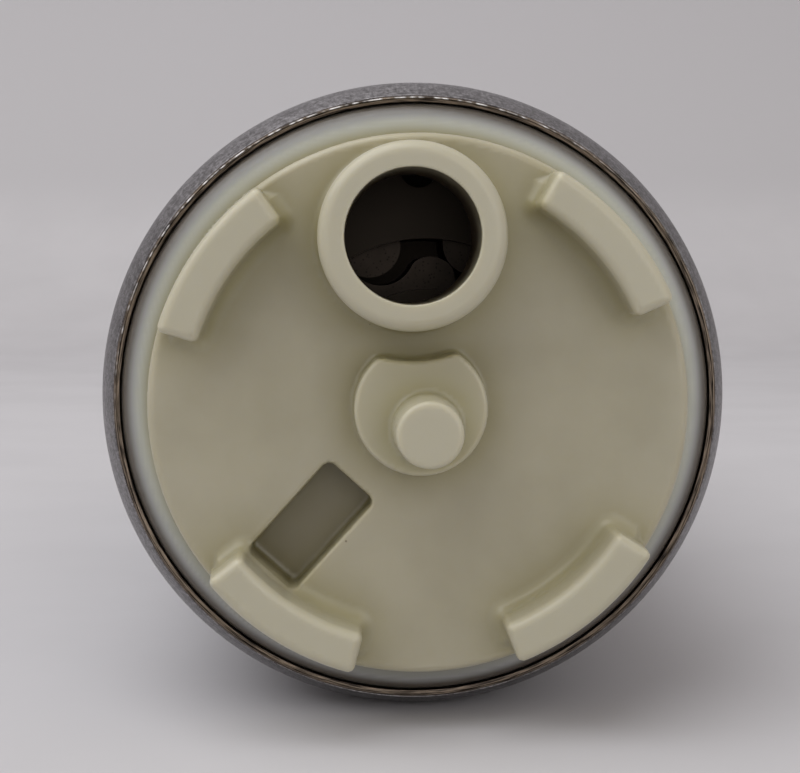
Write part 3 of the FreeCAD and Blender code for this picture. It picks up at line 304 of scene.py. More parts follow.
def faceGroups(faces, walls, count):
    # One label for all the faces joined over edges that aren't walls: the least number among
    # neighbours, passed on until nothing changes.
    keys = edgeKeys(faces, np.roll(faces, -1, axis=1), count).ravel()
    owner = np.repeat(np.arange(len(faces)), 3)[~np.isin(keys, walls)]
    keys = keys[~np.isin(keys, walls)]
    owner = owner[np.argsort(keys, kind="stable")]
    shared = np.diff(np.sort(keys)) == 0
    first, second = owner[:-1][shared], owner[1:][shared]
    label, before = np.arange(len(faces)), None
    while before is None or (label != before).any():
        before, least = label.copy(), np.minimum(label[first], label[second])
        np.minimum.at(label, first, least)
        np.minimum.at(label, second, least)
        label = label[label]
    return label


def flatFaces(field, point, raised, shaded):
    # The flat places square to the pump's axis, left open by the raised faces: each plane's
    # outlines, and the shaded points in it, are joined by triangles. A group of triangles within
    # the outlines stays if a line outwards from its largest one crosses them an odd number of times.
    start, end = raised.ravel(), np.roll(raised, -1, axis=1).ravel()
    count = point.shape[1]
    rim = ~np.isin(start * count + end, end * count + start)
    start, end = start[rim], end[rim]
    plane = np.round(point[2][start], net["decimals"])
    made = []
    for height in np.unique(plane):
        here = plane == height
        corners, edges = np.unique(np.stack([start[here], end[here]], axis=1), return_inverse=True)
        corners = np.concatenate([corners, shaded[np.round(point[2][shaded], net["decimals"]) == height]])
        _, _, faces, origin, _, _ = delaunay_2d_cdt(
            point[:2, corners].T.tolist(), edges.reshape(-1, 2).tolist(), [], 0, 1e-7)
        faces = corners[np.array([group[0] for group in origin])][np.array(faces)]
        a, b, c = point[:2, faces.T].transpose(1, 2, 0)
        turn = (b - a)[:, 0] * (c - a)[:, 1] - (b - a)[:, 1] * (c - a)[:, 0]
        label = faceGroups(faces, edgeKeys(start[here], end[here], count), count)
        bySize = np.argsort(-np.abs(turn), kind="stable")
        _, first, group = np.unique(label[bySize], return_index=True, return_inverse=True)
        group = group.ravel()[np.argsort(bySize)]
        x, y = (a + b + c)[bySize[first]].T[:, :, None] / 3
        (ax, ay), (bx, by) = point[:2, start[here]], point[:2, end[here]]
        with np.errstate(divide="ignore", invalid="ignore"):
            crosses = ((ay > y) != (by > y)) & (x < ax + (y - ay) * (bx - ax) / (by - ay))
        wide = np.abs(turn[bySize[first]]) > net["leastArea"]
        kept = ((crosses.sum(axis=1) % 2 == 1) & wide)[group]
        outward = slopeOf(field, point[:, faces].mean(axis=2))[2]
        faces = np.where((turn * outward > 0)[:, None], faces[:, ::-1], faces)
        made.append(faces[kept])
    return np.concatenate(made)


# Finishes

def paint(red, green, blue):
    # A screen colour, 0 to 255, as the linear colour that a shader takes.
    screen = np.array([red, green, blue]) / 255
    linear = np.where(screen <= 0.04045, screen / 12.92, ((screen + 0.055) / 1.055) ** 2.4)
    return (*linear.tolist(), 1.0)


def put(tree, kind, inputs=None, **settings):
    node = tree.nodes.new("ShaderNode" + kind)
    for label, value in settings.items():
        setattr(node, label, value)
    for label, value in (inputs or {}).items():
        if isinstance(value, bpy.types.NodeSocket):
            tree.links.new(value, node.inputs[label])
        else:
            node.inputs[label].default_value = value
    return node


def newGroup(name, inputs):
    # A surface group: its inputs by name and first value, and its colour, roughness and height.
    group = bpy.data.node_groups.new(name, "ShaderNodeTree")
    kinds = {3: "Vector", 4: "Color"}
    for label, value in inputs.items():
        kind = kinds[len(value)] if isinstance(value, tuple) else "Float"
        socket = group.interface.new_socket(name=label, in_out="INPUT", socket_type="NodeSocket" + kind)
        socket.default_value = value
    for label, kind in (("Color", "Color"), ("Roughness", "Float"), ("Height", "Float")):
        group.interface.new_socket(name=label, in_out="OUTPUT", socket_type="NodeSocket" + kind)
    given = group.nodes.new("NodeGroupInput").outputs
    return group, given, put(group, "TexCoord").outputs["Object"]


def spread(group, value, low, high, newLow=0.0, newHigh=1.0):
    return put(group, "MapRange", {"Value": value, "From Min": low, "From Max": high,
                                   "To Min": newLow, "To Max": newHigh}).outputs["Result"]


def giveOut(group, given, colour, height, follows, low=0.3, high=0.7):
    # The group's outputs: the roughness rises as the value that it follows goes from low to high.
    rough = spread(group, follows, low, high, given["Rough Low"], given["Rough High"])
    result = group.nodes.new("NodeGroupOutput").inputs
    for label, value in (("Color", colour), ("Roughness", rough), ("Height", height)):
        group.links.new(value, result[label])
    return group


def noise(group, place, scale, detail):
    return put(group, "TexNoise", {"Vector": place, "Scale": scale, "Detail": detail}).outputs["Fac"]


def combined(group, operation, first, second):
    return put(group, "Math", {0: first, 1: second}, operation=operation).outputs[0]


def combinedVector(group, operation, first, second=(0.0, 0.0, 0.0)):
    return put(group, "VectorMath", {0: first, 1: second}, operation=operation).outputs[0]


def maskOf(group, name):
    return put(group, "Attribute", attribute_name=name).outputs["Fac"]


def mixed(group, share, first, second, blend="MIX"):
    node = put(group, "Mix", data_type="RGBA", blend_type=blend)
    for label, value in ((0, share), (6, first), (7, second)):
        if isinstance(value, bpy.types.NodeSocket):
            group.links.new(value, node.inputs[label])
        else:
            node.inputs[label].default_value = value
    return node.outputs[2]


def mouldedSurface():
    # Moulded plastic: slow mottling, rare dark specks, a fine grain, and, where a mesh has the masks, a
    # painted glow on raised faces, a pale painted sheen on the rim, and painted shade in crevices and
    # hollows.
    group, given, place = newGroup("mouldedSurface", {
        "Light": (0.5, 0.5, 0.5, 1), "Shade": (0.4, 0.4, 0.4, 1), "Speck": (0.1, 0.1, 0.1, 1),
        "Specks": 0.5, "Raised": (0.5, 0.5, 0.5, 1), "Rim": (0.4, 0.4, 0.4, 1),
        "Crevice Shade": (0.8, 0.8, 0.7, 1), "Painted Shade": (0.02, 0.02, 0.02, 1), "Mottle Scale": 260.0,
        "Rough Low": 0.4, "Rough High": 0.5})
    mottle = noise(group, place, given["Mottle Scale"], 4.0)
    colour = mixed(group, spread(group, mottle, 0.38, 0.66), given["Light"], given["Shade"])
    # Painted light: raised faces mix towards a lighter painted glow, and the rim towards a pale painted
    # sheen.
    for label in ("Raised", "Rim"):
        colour = mixed(group, maskOf(group, label.lower()), colour, given[label])
    dots = put(group, "TexVoronoi", {"Vector": place, "Scale": 700.0}).outputs
    chosen = put(group, "SeparateColor", {"Color": dots["Color"]}).outputs["Red"]
    speck = combined(group, "MULTIPLY", spread(group, dots["Distance"], 0.03, 0.07, 1.0, 0.0),
                     combined(group, "LESS_THAN", chosen, given["Specks"]))
    colour = mixed(group, speck, colour, given["Speck"])
    # Painted shade: closed-in places are multiplied darker and more olive.
    colour = mixed(group, maskOf(group, "crevice"), colour, given["Crevice Shade"], "MULTIPLY")
    # Painted shade: the mask's places take a dark brown painted shade colour.
    colour = mixed(group, maskOf(group, "paintedShade"), colour, given["Painted Shade"])
    fine = noise(group, place, 2600.0, 3.0)
    return giveOut(group, given, colour, fine, fine)


def drawnSurface():
    # Drawn or rolled metal: streaks along one direction, blotches and dark pin marks. The cut wall
    # and burr of a mesh that has them, and a lip's inner edge, have streaks round the pump axis; the burr
    # mask paints a highlight.
    group, given, place = newGroup("drawnSurface", {
        "Light": (0.6, 0.6, 0.6, 1), "Shade": (0.4, 0.4, 0.4, 1), "Mark": (0.1, 0.1, 0.1, 1),
        "Stretch": (1800.0, 90.0, 1800.0), "Blotch Scale": 160.0, "Marks": 0.5, "Mark Scale": 2200.0,
        "Lip": 0.0, "Cut": (0.1, 0.09, 0.08, 1), "Burr Highlight": (0.7, 0.7, 0.7, 1),
        "Rough Low": 0.3, "Rough High": 0.45})
    streaks = noise(group, combinedVector(group, "MULTIPLY", place, given["Stretch"]), 1.0, 4.0)
    both = combined(group, "ADD", streaks, noise(group, place, given["Blotch Scale"], 5.0))
    colour = mixed(group, spread(group, both, 0.8, 1.25), given["Shade"], given["Light"])
    pins = spread(group, noise(group, place, given["Mark Scale"], 2.0), 0.58, 0.7)
    colour = mixed(group, combined(group, "MULTIPLY", pins, given["Marks"]), colour, given["Mark"])
    across = combinedVector(group, "MULTIPLY", place, (1.0, 0.0, 1.0))
    radius = put(group, "VectorMath", {0: across}, operation="LENGTH").outputs["Value"]
    bearing = combinedVector(group, "NORMALIZE", across)
    bearing = combinedVector(group, "MULTIPLY", bearing, (14.0, 14.0, 14.0))
    outward = put(group, "CombineXYZ", {"Y": combined(group, "MULTIPLY", radius, 16000.0)}).outputs[0]
    rings = noise(group, combinedVector(group, "ADD", bearing, outward), 1.0, 3.0)
    nearLip = combined(group, "MULTIPLY", spread(group, radius, 0.0189, 0.0184), given["Lip"])
    scored = combined(group, "MULTIPLY", spread(group, rings, 0.45, 0.65), nearLip)
    colour = mixed(group, scored, colour, given["Mark"])
    cut = mixed(group, spread(group, rings, 0.35, 0.62), given["Mark"], given["Cut"])
    colour = mixed(group, maskOf(group, "cutWall"), colour, cut)
    # Painted highlight: the burr mask mixes towards a near-white highlight colour.
    colour = mixed(group, maskOf(group, "burr"), colour, given["Burr Highlight"])
    return giveOut(group, given, colour, both, streaks)


def turnedMetalSurface():
    # Turned or ground metal: fine rings about the pump axis and a slow tint.
    group, given, place = newGroup("turnedMetalSurface", {
        "Light": (0.6, 0.6, 0.6, 1), "Shade": (0.4, 0.4, 0.4, 1), "Ring Scale": 900.0,
        "Rough Low": 0.25, "Rough High": 0.4})
    rings = put(group, "TexWave", {"Vector": place, "Scale": given["Ring Scale"], "Distortion": 1.5,
                                   "Detail": 3.0, "Detail Scale": 2.0},
                wave_type="RINGS", rings_direction="Y").outputs["Fac"]
    tint = noise(group, place, 220.0, 4.0)
    both = combined(group, "ADD", spread(group, rings, 0.0, 1.0, 0.0, 0.35), tint)
    colour = mixed(group, spread(group, both, 0.35, 0.9), given["Light"], given["Shade"])
    return giveOut(group, given, colour, rings, rings, 0.0, 1.0)


def pressedPowderSurface():
    # Pressed powder, such as sintered steel, bronze, ferrite or carbon: close pores and a soft tint.
    group, given, place = newGroup("pressedPowderSurface", {
        "Light": (0.4, 0.4, 0.4, 1), "Shade": (0.3, 0.3, 0.3, 1), "Pore": (0.05, 0.05, 0.05, 1),
        "Pore Scale": 2800.0, "Rough Low": 0.4, "Rough High": 0.7})
    tint = noise(group, place, 300.0, 5.0)
    colour = mixed(group, spread(group, tint, 0.35, 0.65), given["Light"], given["Shade"])
    pores = put(group, "TexVoronoi", {"Vector": place, "Scale": given["Pore Scale"]}).outputs["Distance"]
    colour = mixed(group, spread(group, pores, 0.1, 0.3, 1.0, 0.0), colour, given["Pore"])
    return giveOut(group, given, colour, pores, tint)


def bandedSurface():
    # Close bands square to a direction: enamelled wire, stacked laminations or card fibre.
    group, given, place = newGroup("bandedSurface", {
        "Light": (0.6, 0.3, 0.1, 1), "Shade": (0.2, 0.1, 0.05, 1), "Direction": (0.0, 1.0, 0.0),
        "Band Scale": 1500.0, "Wander": 0.4, "Rough Low": 0.3, "Rough High": 0.5})
    along = put(group, "VectorMath", {0: place, 1: given["Direction"]},
                operation="DOT_PRODUCT").outputs["Value"]
    drift = noise(group, place, 300.0, 2.0)
    bent = combined(group, "MULTIPLY", given["Wander"], drift)
    turns = combined(group, "ADD", combined(group, "MULTIPLY", along, given["Band Scale"]), bent)
    band = spread(group, combined(group, "PINGPONG", turns, 0.5), 0.0, 0.3)
    colour = mixed(group, band, given["Shade"], given["Light"])
    return giveOut(group, given, colour, band, drift)


groups = {
    "moulded": mouldedSurface(), "drawn": drawnSurface(), "turned": turnedMetalSurface(),
    "powder": pressedPowderSurface(), "banded": bandedSurface(),
}

# Each finish: its surface group, the screen colours of its light and shade, its least and most
# roughness, the group's other values, the bump's depth in millimetres, and the shader's own values.
metal = {"Metallic": 1.0}
finishes = {
    "steel_can": ("drawn", (154, 151, 153), (108, 105, 106), (0.34, 0.48), {
        "Mark": paint(40, 36, 34), "Stretch": (5200, 700, 5200), "Blotch Scale": 3000, "Marks": 0.7,
        "Mark Scale": 8000, "Lip": 0.5, "Cut": paint(138, 124, 110),
        "Burr Highlight": paint(222, 220, 220)}, 0.003, metal),
    # In cap_plastic, the raised colour is a painted glow, the rim colour a pale painted sheen, and the
    # crevice multiply and dark brown colour are painted shade.
    "cap_plastic": ("moulded", (169, 164, 145), (162, 157, 137), (0.29, 0.37), {
        "Speck": paint(96, 84, 64), "Specks": 0.03, "Painted Shade": paint(64, 53, 36),
        "Raised": paint(177, 173, 154), "Rim": paint(194, 198, 204), "Crevice Shade": (0.78, 0.74, 0.45, 1),
        "Mottle Scale": 190}, 0.0015, {
            "Subsurface Weight": 0.8, "Subsurface Radius": (1.0, 0.9, 0.65), "Subsurface Scale": 0.0009,
            "IOR": 1.5}),
    # Painted shade: the dowel pins' finish is painted far darker than bare steel.
    "shade_darkened_steel": ("turned", (32, 29, 26), (26, 24, 22), (0.5, 0.55),
                        {"Ring Scale": 2600}, 0.0005, metal),
    "seal_rubber": ("moulded", (40, 40, 41), (32, 32, 33), (0.5, 0.65),
                    {"Speck": paint(70, 70, 70), "Specks": 0.1}, 0.004, {}),
    # Painted shade: plate_metal and sintered_steel are painted much darker than bare metal, for the little
    # light deep in the bore.
    "plate_metal": ("turned", (56, 50, 44), (51, 46, 40), (0.4, 0.42), {"Ring Scale": 5200}, 0.0001, metal),
    "sintered_steel": ("powder", (62, 55, 49), (52, 47, 42), (0.34, 0.42),
                       {"Pore": paint(40, 36, 33), "Pore Scale": 3600}, 0.0004, metal),
    "ground_steel": ("turned", (196, 196, 198), (168, 167, 169), (0.14, 0.24),
                     {"Ring Scale": 2600}, 0.001, metal),
    "bronze": ("powder", (186, 142, 84), (158, 117, 66), (0.35, 0.55),
               {"Pore": paint(84, 58, 30)}, 0.004, metal),
    "inner_plastic": ("moulded", (64, 62, 60), (52, 50, 49), (0.42, 0.55),
                      {"Speck": paint(100, 97, 92), "Specks": 0.2}, 0.004, {}),
    "insulator_card": ("banded", (176, 156, 118), (158, 138, 102), (0.7, 0.85),
                       {"Direction": (1, 0, 0), "Band Scale": 2400, "Wander": 3.0}, 0.003, {}),
    "core_steel": ("banded", (128, 127, 130), (70, 68, 68), (0.35, 0.5),
                   {"Direction": (0, 1, 0), "Band Scale": 2000, "Wander": 0.0}, 0.006, metal),
    "copper_wire": ("banded", (176, 96, 52), (92, 44, 22), (0.25, 0.4),
                    {"Direction": (0.5, 1, 0.5), "Band Scale": 1300, "Wander": 2.0}, 0.02,
                    {"Metallic": 0.7}),
    "copper": ("turned", (206, 130, 88), (172, 100, 64), (0.22, 0.36), {"Ring Scale": 1800}, 0.002, metal),
    "flux_steel": ("drawn", (150, 148, 148), (112, 109, 108), (0.35, 0.5),
                   {"Mark": paint(50, 44, 40), "Marks": 0.4}, 0.004, metal),
    "ferrite": ("powder", (66, 65, 66), (52, 51, 52), (0.55, 0.7), {"Pore": paint(24, 24, 24)}, 0.006, {}),
    "carbon": ("powder", (58, 56, 55), (42, 40, 40), (0.45, 0.6), {"Pore": paint(14, 14, 14)}, 0.006, {}),
    "spring_steel": ("drawn", (188, 187, 188), (150, 148, 148), (0.22, 0.35),
                     {"Mark": paint(80, 76, 72), "Stretch": (900, 900, 900), "Marks": 0.2}, 0.002, metal),
    "tinned_brass": ("drawn", (206, 204, 198), (172, 168, 158), (0.22, 0.36),
                     {"Mark": paint(110, 98, 70), "Stretch": (1600, 200, 1600), "Marks": 0.25},
                     0.002, metal),
    "valve_plastic": ("moulded", (150, 70, 52), (136, 62, 46), (0.4, 0.5),
                      {"Speck": paint(80, 36, 28), "Specks": 0.1}, 0.003, {}),
}


def makeFinish(name):
    kind, light, shade, (smoothest, roughest), values, depth, shaderValues = finishes[name]
    finish = bpy.data.materials.new(name)
    finish.use_nodes = True
    tree = finish.node_tree
    shader = tree.nodes["Principled BSDF"]
    surface = tree.nodes.new("ShaderNodeGroup")
    surface.node_tree = groups[kind]
    values = {"Light": paint(*light), "Shade": paint(*shade), "Rough Low": smoothest,
              "Rough High": roughest, **values}
    for node, given in ((surface, values), (shader, shaderValues)):
        for label, value in given.items():
            node.inputs[label].default_value = value
    bump = put(tree, "Bump", {"Height": surface.outputs["Height"], "Distance": depth * pump["millimetre"],
                              "Strength": 1.0})
    tree.links.new(surface.outputs["Color"], shader.inputs["Base Color"])
    tree.links.new(surface.outputs["Roughness"], shader.inputs["Roughness"])
    tree.links.new(bump.outputs["Normal"], shader.inputs["Normal"])
    return finish


materials = {name: makeFinish(name) for name in finishes}


def dress(piece, finish):
    piece.data.materials.clear()
    piece.data.materials.append(materials[finish])
    for slot in piece.material_slots:
        slot.link = "OBJECT"
        slot.material = materials[finish]


# The dowel pins take the finish that is painted darker still, as painted shade.
darker = {"dowel_pins": "shade_darkened_steel"}
for part in frame["record"]["subparts"]:
    node = nodes[part["node"]]
    for slot in node.material_slots:
        slot.link = "OBJECT"
        slot.material = materials[darker.get(part["node"], part["material_slot"])]
print("finishes made:", len(materials))


# Springs and leads, each as a piece of its own

springs = {  # each spring, its joint, and how far the joint travels in metres
    "brush_spring_positive": ("positive_brush_slide", 0.003),
    "brush_spring_negative": ("negative_brush_slide", 0.003),
    "check_valve_spring": ("check_valve_lift", 0.002),
    "relief_valve_spring": ("relief_valve_lift", 0.001),
}
leads = {"brush_lead_positive": "positive_brush", "brush_lead_negative": "negative_brush"}  # and its brush
wire = {"weld": 1e-7, "sharpest": 50}  # metres and degrees


def wireForm(name, finish):
    # The frame's own wire form with its corners joined, as a piece of its own.
    piece = bpy.data.objects.new(name + "_wire", nodes[name].data.copy())
    bpy.context.scene.collection.objects.link(piece)
    joined = bmesh.new()
    joined.from_mesh(piece.data)
    bmesh.ops.remove_doubles(joined, verts=joined.verts, dist=wire["weld"])
    joined.to_mesh(piece.data)
    joined.free()
    piece.data.shade_smooth()
    piece.data.set_sharp_from_angle(angle=math.radians(wire["sharpest"]))
    dress(piece, finish)
    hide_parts(name)
    return piece


slots = {part["node"]: part["material_slot"] for part in frame["record"]["subparts"]}
for name, (joint, travel) in springs.items():
    spring = wireForm(name, slots[name])
    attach(spring, "housing")
    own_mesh(spring)
for name, brush in leads.items():
    lead = wireForm(name, slots[name])
    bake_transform(lead)
print("springs and leads made")


# Can

can = {
    "radius": 19.5, "length": 96.0, "bore": 18.7, "innerCrimp": 3.08, "crimp": 2.6, "shoulder": 6.0,
    "cutInner": 17.95, "cutOuter": 18.15, "burrInner": 18.18, "burrOuter": 18.24, "burr": 0.13,
    "groove": 18.3, "grooveDepth": 0.05, "bandInner": 18.37, "cutEdge": 0.03, "burrEdge": 0.02,
    "burrMiddle": -20.0, "burrSpan": 55.0, "burrLow": 0.09, "burrRagged": 0.012, "burrFrom": -0.05,
    "cutReach": 18.32, "cutDepth": 0.5, "longest": 3.0, "segments": 720,
}


def canProfile():
    # Half the length: the cut end of the wall, its burr, a fine groove, then the rolled shoulder.
    far, edge, fine = can["length"], can["cutEdge"], can["burrEdge"]
    half = [
        (can["cutInner"], edge, edge, 4), (can["cutOuter"], 0.0, edge / 2, 3),
        (can["burrInner"], -can["burr"], fine, 3), (can["burrOuter"], -can["burr"], fine, 3),
        (can["groove"], can["grooveDepth"], fine, 3), (can["bandInner"], 0.0, edge, 4),
        (can["radius"], can["crimp"], can["shoulder"], 14),
    ]
    outer = half + [(r, far - s, e, *more) for r, s, e, *more in reversed(half)]
    inner = [(can["bore"], far - can["innerCrimp"], 0), (can["bore"], can["innerCrimp"], 0)]
    return finerProfile(roundedProfile(outer + inner), can["longest"])


def burrSpan(bearing):
    # One over the span of bearings where the burr stands up, falling to nought beyond it.
    away = np.abs((np.degrees(bearing) - can["burrMiddle"] + 180) % 360 - 180) / can["burrSpan"]
    return np.exp(-away ** 4)


def burrHeight(bearing):
    # How far the burr is pressed down: little in its span, more elsewhere, and ragged as a sum of sines.
    ragged = np.sin(bearing * 31) + np.sin(bearing * 74 + 1.3) + np.sin(bearing * 151 + 0.4)
    return can["burrLow"] * (1 - burrSpan(bearing)) + can["burrRagged"] * ragged


def burrBright(bearing):
    # Painted highlight: short glints along the burr, as a sum of sines that repeat only over the whole
    # turn.
    waves = ((53, 0), (89, 2), (167, 0.6), (233, 4))
    glints = sum(np.sin(bearing * turns + start) for turns, start in waves)
    return (0.25 + 0.5 * glints) * burrSpan(bearing)


profile = canProfile()[::-1]
fromEnd = np.minimum(profile[:, 1], can["length"] - profile[:, 1])
toMiddle = np.where(profile[:, 1] < can["length"] / 2, 1, -1)
onBurr = (fromEnd < can["burrFrom"])[:, None]
wander = onBurr * toMiddle[:, None] * burrHeight(bearings(can["segments"]))
canShell = turnedSurface("can_shell", profile, can["segments"], wander=wander)
atCut = (profile[:, 0] < can["cutReach"]) & (fromEnd < can["cutDepth"])
# Painted highlight along the burr's span, on the side the lamp lights.
bright = np.clip(burrBright(bearings(can["segments"])), 0, 1) * onBurr
giveMask(canShell, "cutWall", np.repeat(atCut, can["segments"]))
giveMask(canShell, "burr", bright.ravel())
dress(canShell, "steel_can")
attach(canShell, "housing")
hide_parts("can")
print("can made")

# Inlet cap

inletCap = {
    "acrossLines": ((-18.9, 0.245), (-4.4, 0.13), (4.4, 0.245), (18.9, 0)),
    "upLines": ((-18.9, 0.245), (5.3, 0.13), (14.2, 0.245), (18.9, 0)),
    "stations": (
        (-11.2, 0.13), (-10.3, 0.4), (-9.6, 0.13), (-8.6, 0.4), (-7.8, 0.13), (-7.2, 0.2), (-6.9, 0.13),
        (-6.3, 0.4), (-5.0, 0.13), (-3.9, 0.45), (-2.3, 0.13), (-1.6, 0.4), (-0.9, 0.13), (0.6, 0.45),
        (2.25, 0.2), (2.65, 0.9), (6.9, 0)),
    "rimRadius": 17.9, "rimFace": -0.5, "rimEdge": 1.0,
    "discRadius": 15.8, "discFace": -4.3, "discEdge": 0.45, "discFoot": 0.2,
    "lugOuter": 15.48, "lugFlare": 0.083, "lugInner": 13.15, "lugFace": -7.7, "lugSpan": 37.0,
    "lugBearings": (51.4, 143.7, -143.7, -51.4), "lugCorner": 0.4, "lugEdge": 0.5, "lugFoot": 0.85,
    "footFrom": 15.4, "footOver": 0.7, "footLeast": 0.02,
    "bossRadius": 3.8, "bossFace": -6.8, "bossClear": 7.0, "bossEdge": 0.25, "bossFoot": 0.3,
    "tubeUp": 9.75, "tubeRadius": 5.25, "tubeTip": -9.4, "tubeEdge": 0.7, "tubeFoot": 0.4,
    "bore": 3.76, "boreEdge": 0.09, "boreEnd": -1.3,
    "postOffset": 1.1, "postBearing": 166.0, "postRadius": 1.85, "postRoot": 2.0, "postTip": -10.9,
    "postEdge": 0.28, "postFoot": 0.25,
    "recessWidth": 3.65, "recessLength": 7.15, "recessOffset": 9.425, "recessBearing": -134.6,
    "recessFloor": -1.8, "recessCorner": 0.5, "recessEdge": 0.2, "recessFillet": 0.35,
    "chamberInner": 5.6, "chamberOuter": 15.0, "chamberSpan": 120.0, "chamberFace": -1.8,
    "land": 2.4, "back": 6.5,
    "collarTop": 18.21, "collarRadius": 18.65, "coneStart": 1.0, "coneEnd": 3.08,
    "grooveStart": 3.6, "grooveEnd": 5.6, "grooveRadius": 16.84,
}


def sealGroove(size, radius, station):
    ring = slab(station, size["grooveStart"], size["grooveEnd"])
    return np.maximum(ring, size["grooveRadius"] - radius)


def inletCapField(across, up, station):
    size = inletCap
    radius = np.hypot(across, up)
    fromTube = np.hypot(across, up - size["tubeUp"])
    rim = roundMeet(radius - size["rimRadius"], size["rimFace"] - station, size["rimEdge"])
    disc = roundMeet(radius - size["discRadius"], size["discFace"] - station, size["discEdge"])
    body = roundJoin(rim, disc, size["discFoot"])
    ends = [sector(across, up, bearing, size["lugSpan"]) for bearing in size["lugBearings"]]
    outer = size["lugOuter"] + (station - size["lugFace"]) * size["lugFlare"]
    lug = np.maximum(size["lugInner"] - radius, radius - outer)
    lug = roundMeet(lug, np.minimum.reduce(ends), size["lugCorner"])
    lug = roundMeet(lug, size["lugFace"] - station, size["lugEdge"])
    foot = np.clip((size["footFrom"] - radius) / size["footOver"], size["footLeast"], 1)
    body = roundJoin(body, lug, size["lugFoot"] * foot)
    boss = roundMeet(radius - size["bossRadius"], size["bossClear"] - fromTube, size["bossEdge"])
    boss = roundMeet(boss, size["bossFace"] - station, size["bossEdge"])
    body = roundJoin(body, boss, size["bossFoot"])
    tube = roundMeet(fromTube - size["tubeRadius"], size["tubeTip"] - station, size["tubeEdge"])
    body = roundJoin(body, tube, size["tubeFoot"])
    sideways, outward = alongBearing(across, up, size["postBearing"], size["postOffset"])
    rise = (station - size["postTip"]) / (size["bossFace"] - size["postTip"])
    wall = np.hypot(sideways, outward) - size["postRadius"] - rise * (size["postRoot"] - size["postRadius"])
    post = roundMeet(wall, size["postTip"] - station, size["postEdge"])
    body = roundJoin(body, post, size["postFoot"])
    cone = np.clip((station - size["coneStart"]) / (size["coneEnd"] - size["coneStart"]), 0, 1)
    collar = radius - size["collarTop"] - cone * (size["collarRadius"] - size["collarTop"])
    collar = np.maximum(collar, size["land"] - station)
    body = np.maximum(np.minimum(body, collar), -sealGroove(size, radius, station))
    sideways, outward = alongBearing(across, up, size["recessBearing"], size["recessOffset"])
    outline = rectangle(sideways, outward, size["recessWidth"], size["recessLength"], size["recessCorner"])
    recess = roundMeet(outline, station - size["recessFloor"], size["recessFillet"])
    body = roundCut(body, recess, size["recessEdge"])
    chamber = [slab(radius, size["chamberInner"], size["chamberOuter"]), size["chamberFace"] - station,
               sector(across, up, 0.0, size["chamberSpan"])]
    body = np.maximum(body, -np.maximum.reduce(np.broadcast_arrays(*chamber)))
    borehole = np.maximum(fromTube - size["bore"], station - size["boreEnd"])
    body = roundCut(body, borehole, size["boreEdge"])
    return np.maximum(body, station - size["back"])


def gridLine(*stops):
    # Values from the first stop to the last, about a stop's own step apart up to the next one.
    runs = [np.linspace(start, end, max(1, round((end - start) / step)), endpoint=False)
            for (start, step), (end, _) in zip(stops, stops[1:])]
    return np.concatenate([*runs, [stops[-1][0]]])


inletLines = [gridLine(*inletCap[label]) for label in ("acrossLines", "upLines", "stations")]
inletMoulding = fieldSurface("inlet_cap_moulding", inletCapField, *inletLines, shadedEnd=0.0)
across, up, station = offPump(inletMoulding.data)
radius = np.hypot(across, up)


def ramp(value, start, over, most=1.0):
    # From nought at the start to one a length beyond it, and no more than the most.
    return np.clip((value - start) / over, 0, most)


# Where painted shade and painted light go on the cap, in millimetres, and how much, as shares of the
# painted shade's colour.
marks = {
    "ringFrom": -3.3, "boreFrom": 3.86, "boreOver": 0.05, "lipOver": 0.3, "boreShare": 0.7,
    "deepShare": 0.27, "deepFrom": 1.5, "deepOver": 3.0, "gapFrom": 16.8, "gapOver": 0.75, "gapMost": 0.92,
    "shadedBelowShare": 0.45, "shadedBelowFrom": 0.25, "shadedBelowOver": 0.75, "ringInner": 15.9, "ringOver": 0.5,
    "recessShare": 0.35, "recessFrom": -4.0, "recessOver": 1.6, "recessReach": 15.3, "rimOver": 0.7,
    "raisedFrom": 4.9, "raisedOver": 2.4,
}
# Painted shade where little light falls: deeper in the bore, in the gap by the can's lip, on the lower side
# of the ring under the disc, and in the recess.
onRing = station > marks["ringFrom"]
inBore = ramp(-np.hypot(across, up - inletCap["tubeUp"]), -marks["boreFrom"], marks["boreOver"])
depth = station - inletCap["tubeTip"]
deep = marks["boreShare"] + marks["deepShare"] * ramp(depth, marks["deepFrom"], marks["deepOver"])
inBore = inBore * ramp(depth, 0.0, marks["lipOver"]) * deep
inGap = ramp(radius, marks["gapFrom"], marks["gapOver"], marks["gapMost"])
# Painted shade: the ring is darker towards its lower side, under the disc.
shadedBelow = marks["shadedBelowShare"] * ramp(-up / radius, marks["shadedBelowFrom"], marks["shadedBelowOver"])
shadedBelow = shadedBelow * ramp(radius, marks["ringInner"], marks["ringOver"])
inRecess = marks["recessShare"] * ramp(station, marks["recessFrom"], marks["recessOver"])
paintedShades = [inBore, inGap * onRing, shadedBelow * onRing, inRecess * (radius < marks["recessReach"])]
giveMask(inletMoulding, "paintedShade", np.maximum.reduce(paintedShades))
# Painted sheen: the ring round the rim is painted a pale bluish grey.
giveMask(inletMoulding, "rim", ramp(radius, marks["ringInner"], marks["rimOver"]) * onRing)
# Painted light: the raised faces are painted lighter, a painted glow for light the thin raised parts
# scatter.
giveMask(inletMoulding, "raised", ramp(-station, marks["raisedFrom"], marks["raisedOver"]))
dress(inletMoulding, "cap_plastic")
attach(inletMoulding, "housing")
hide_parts("inlet_cap")

# Outlet cap

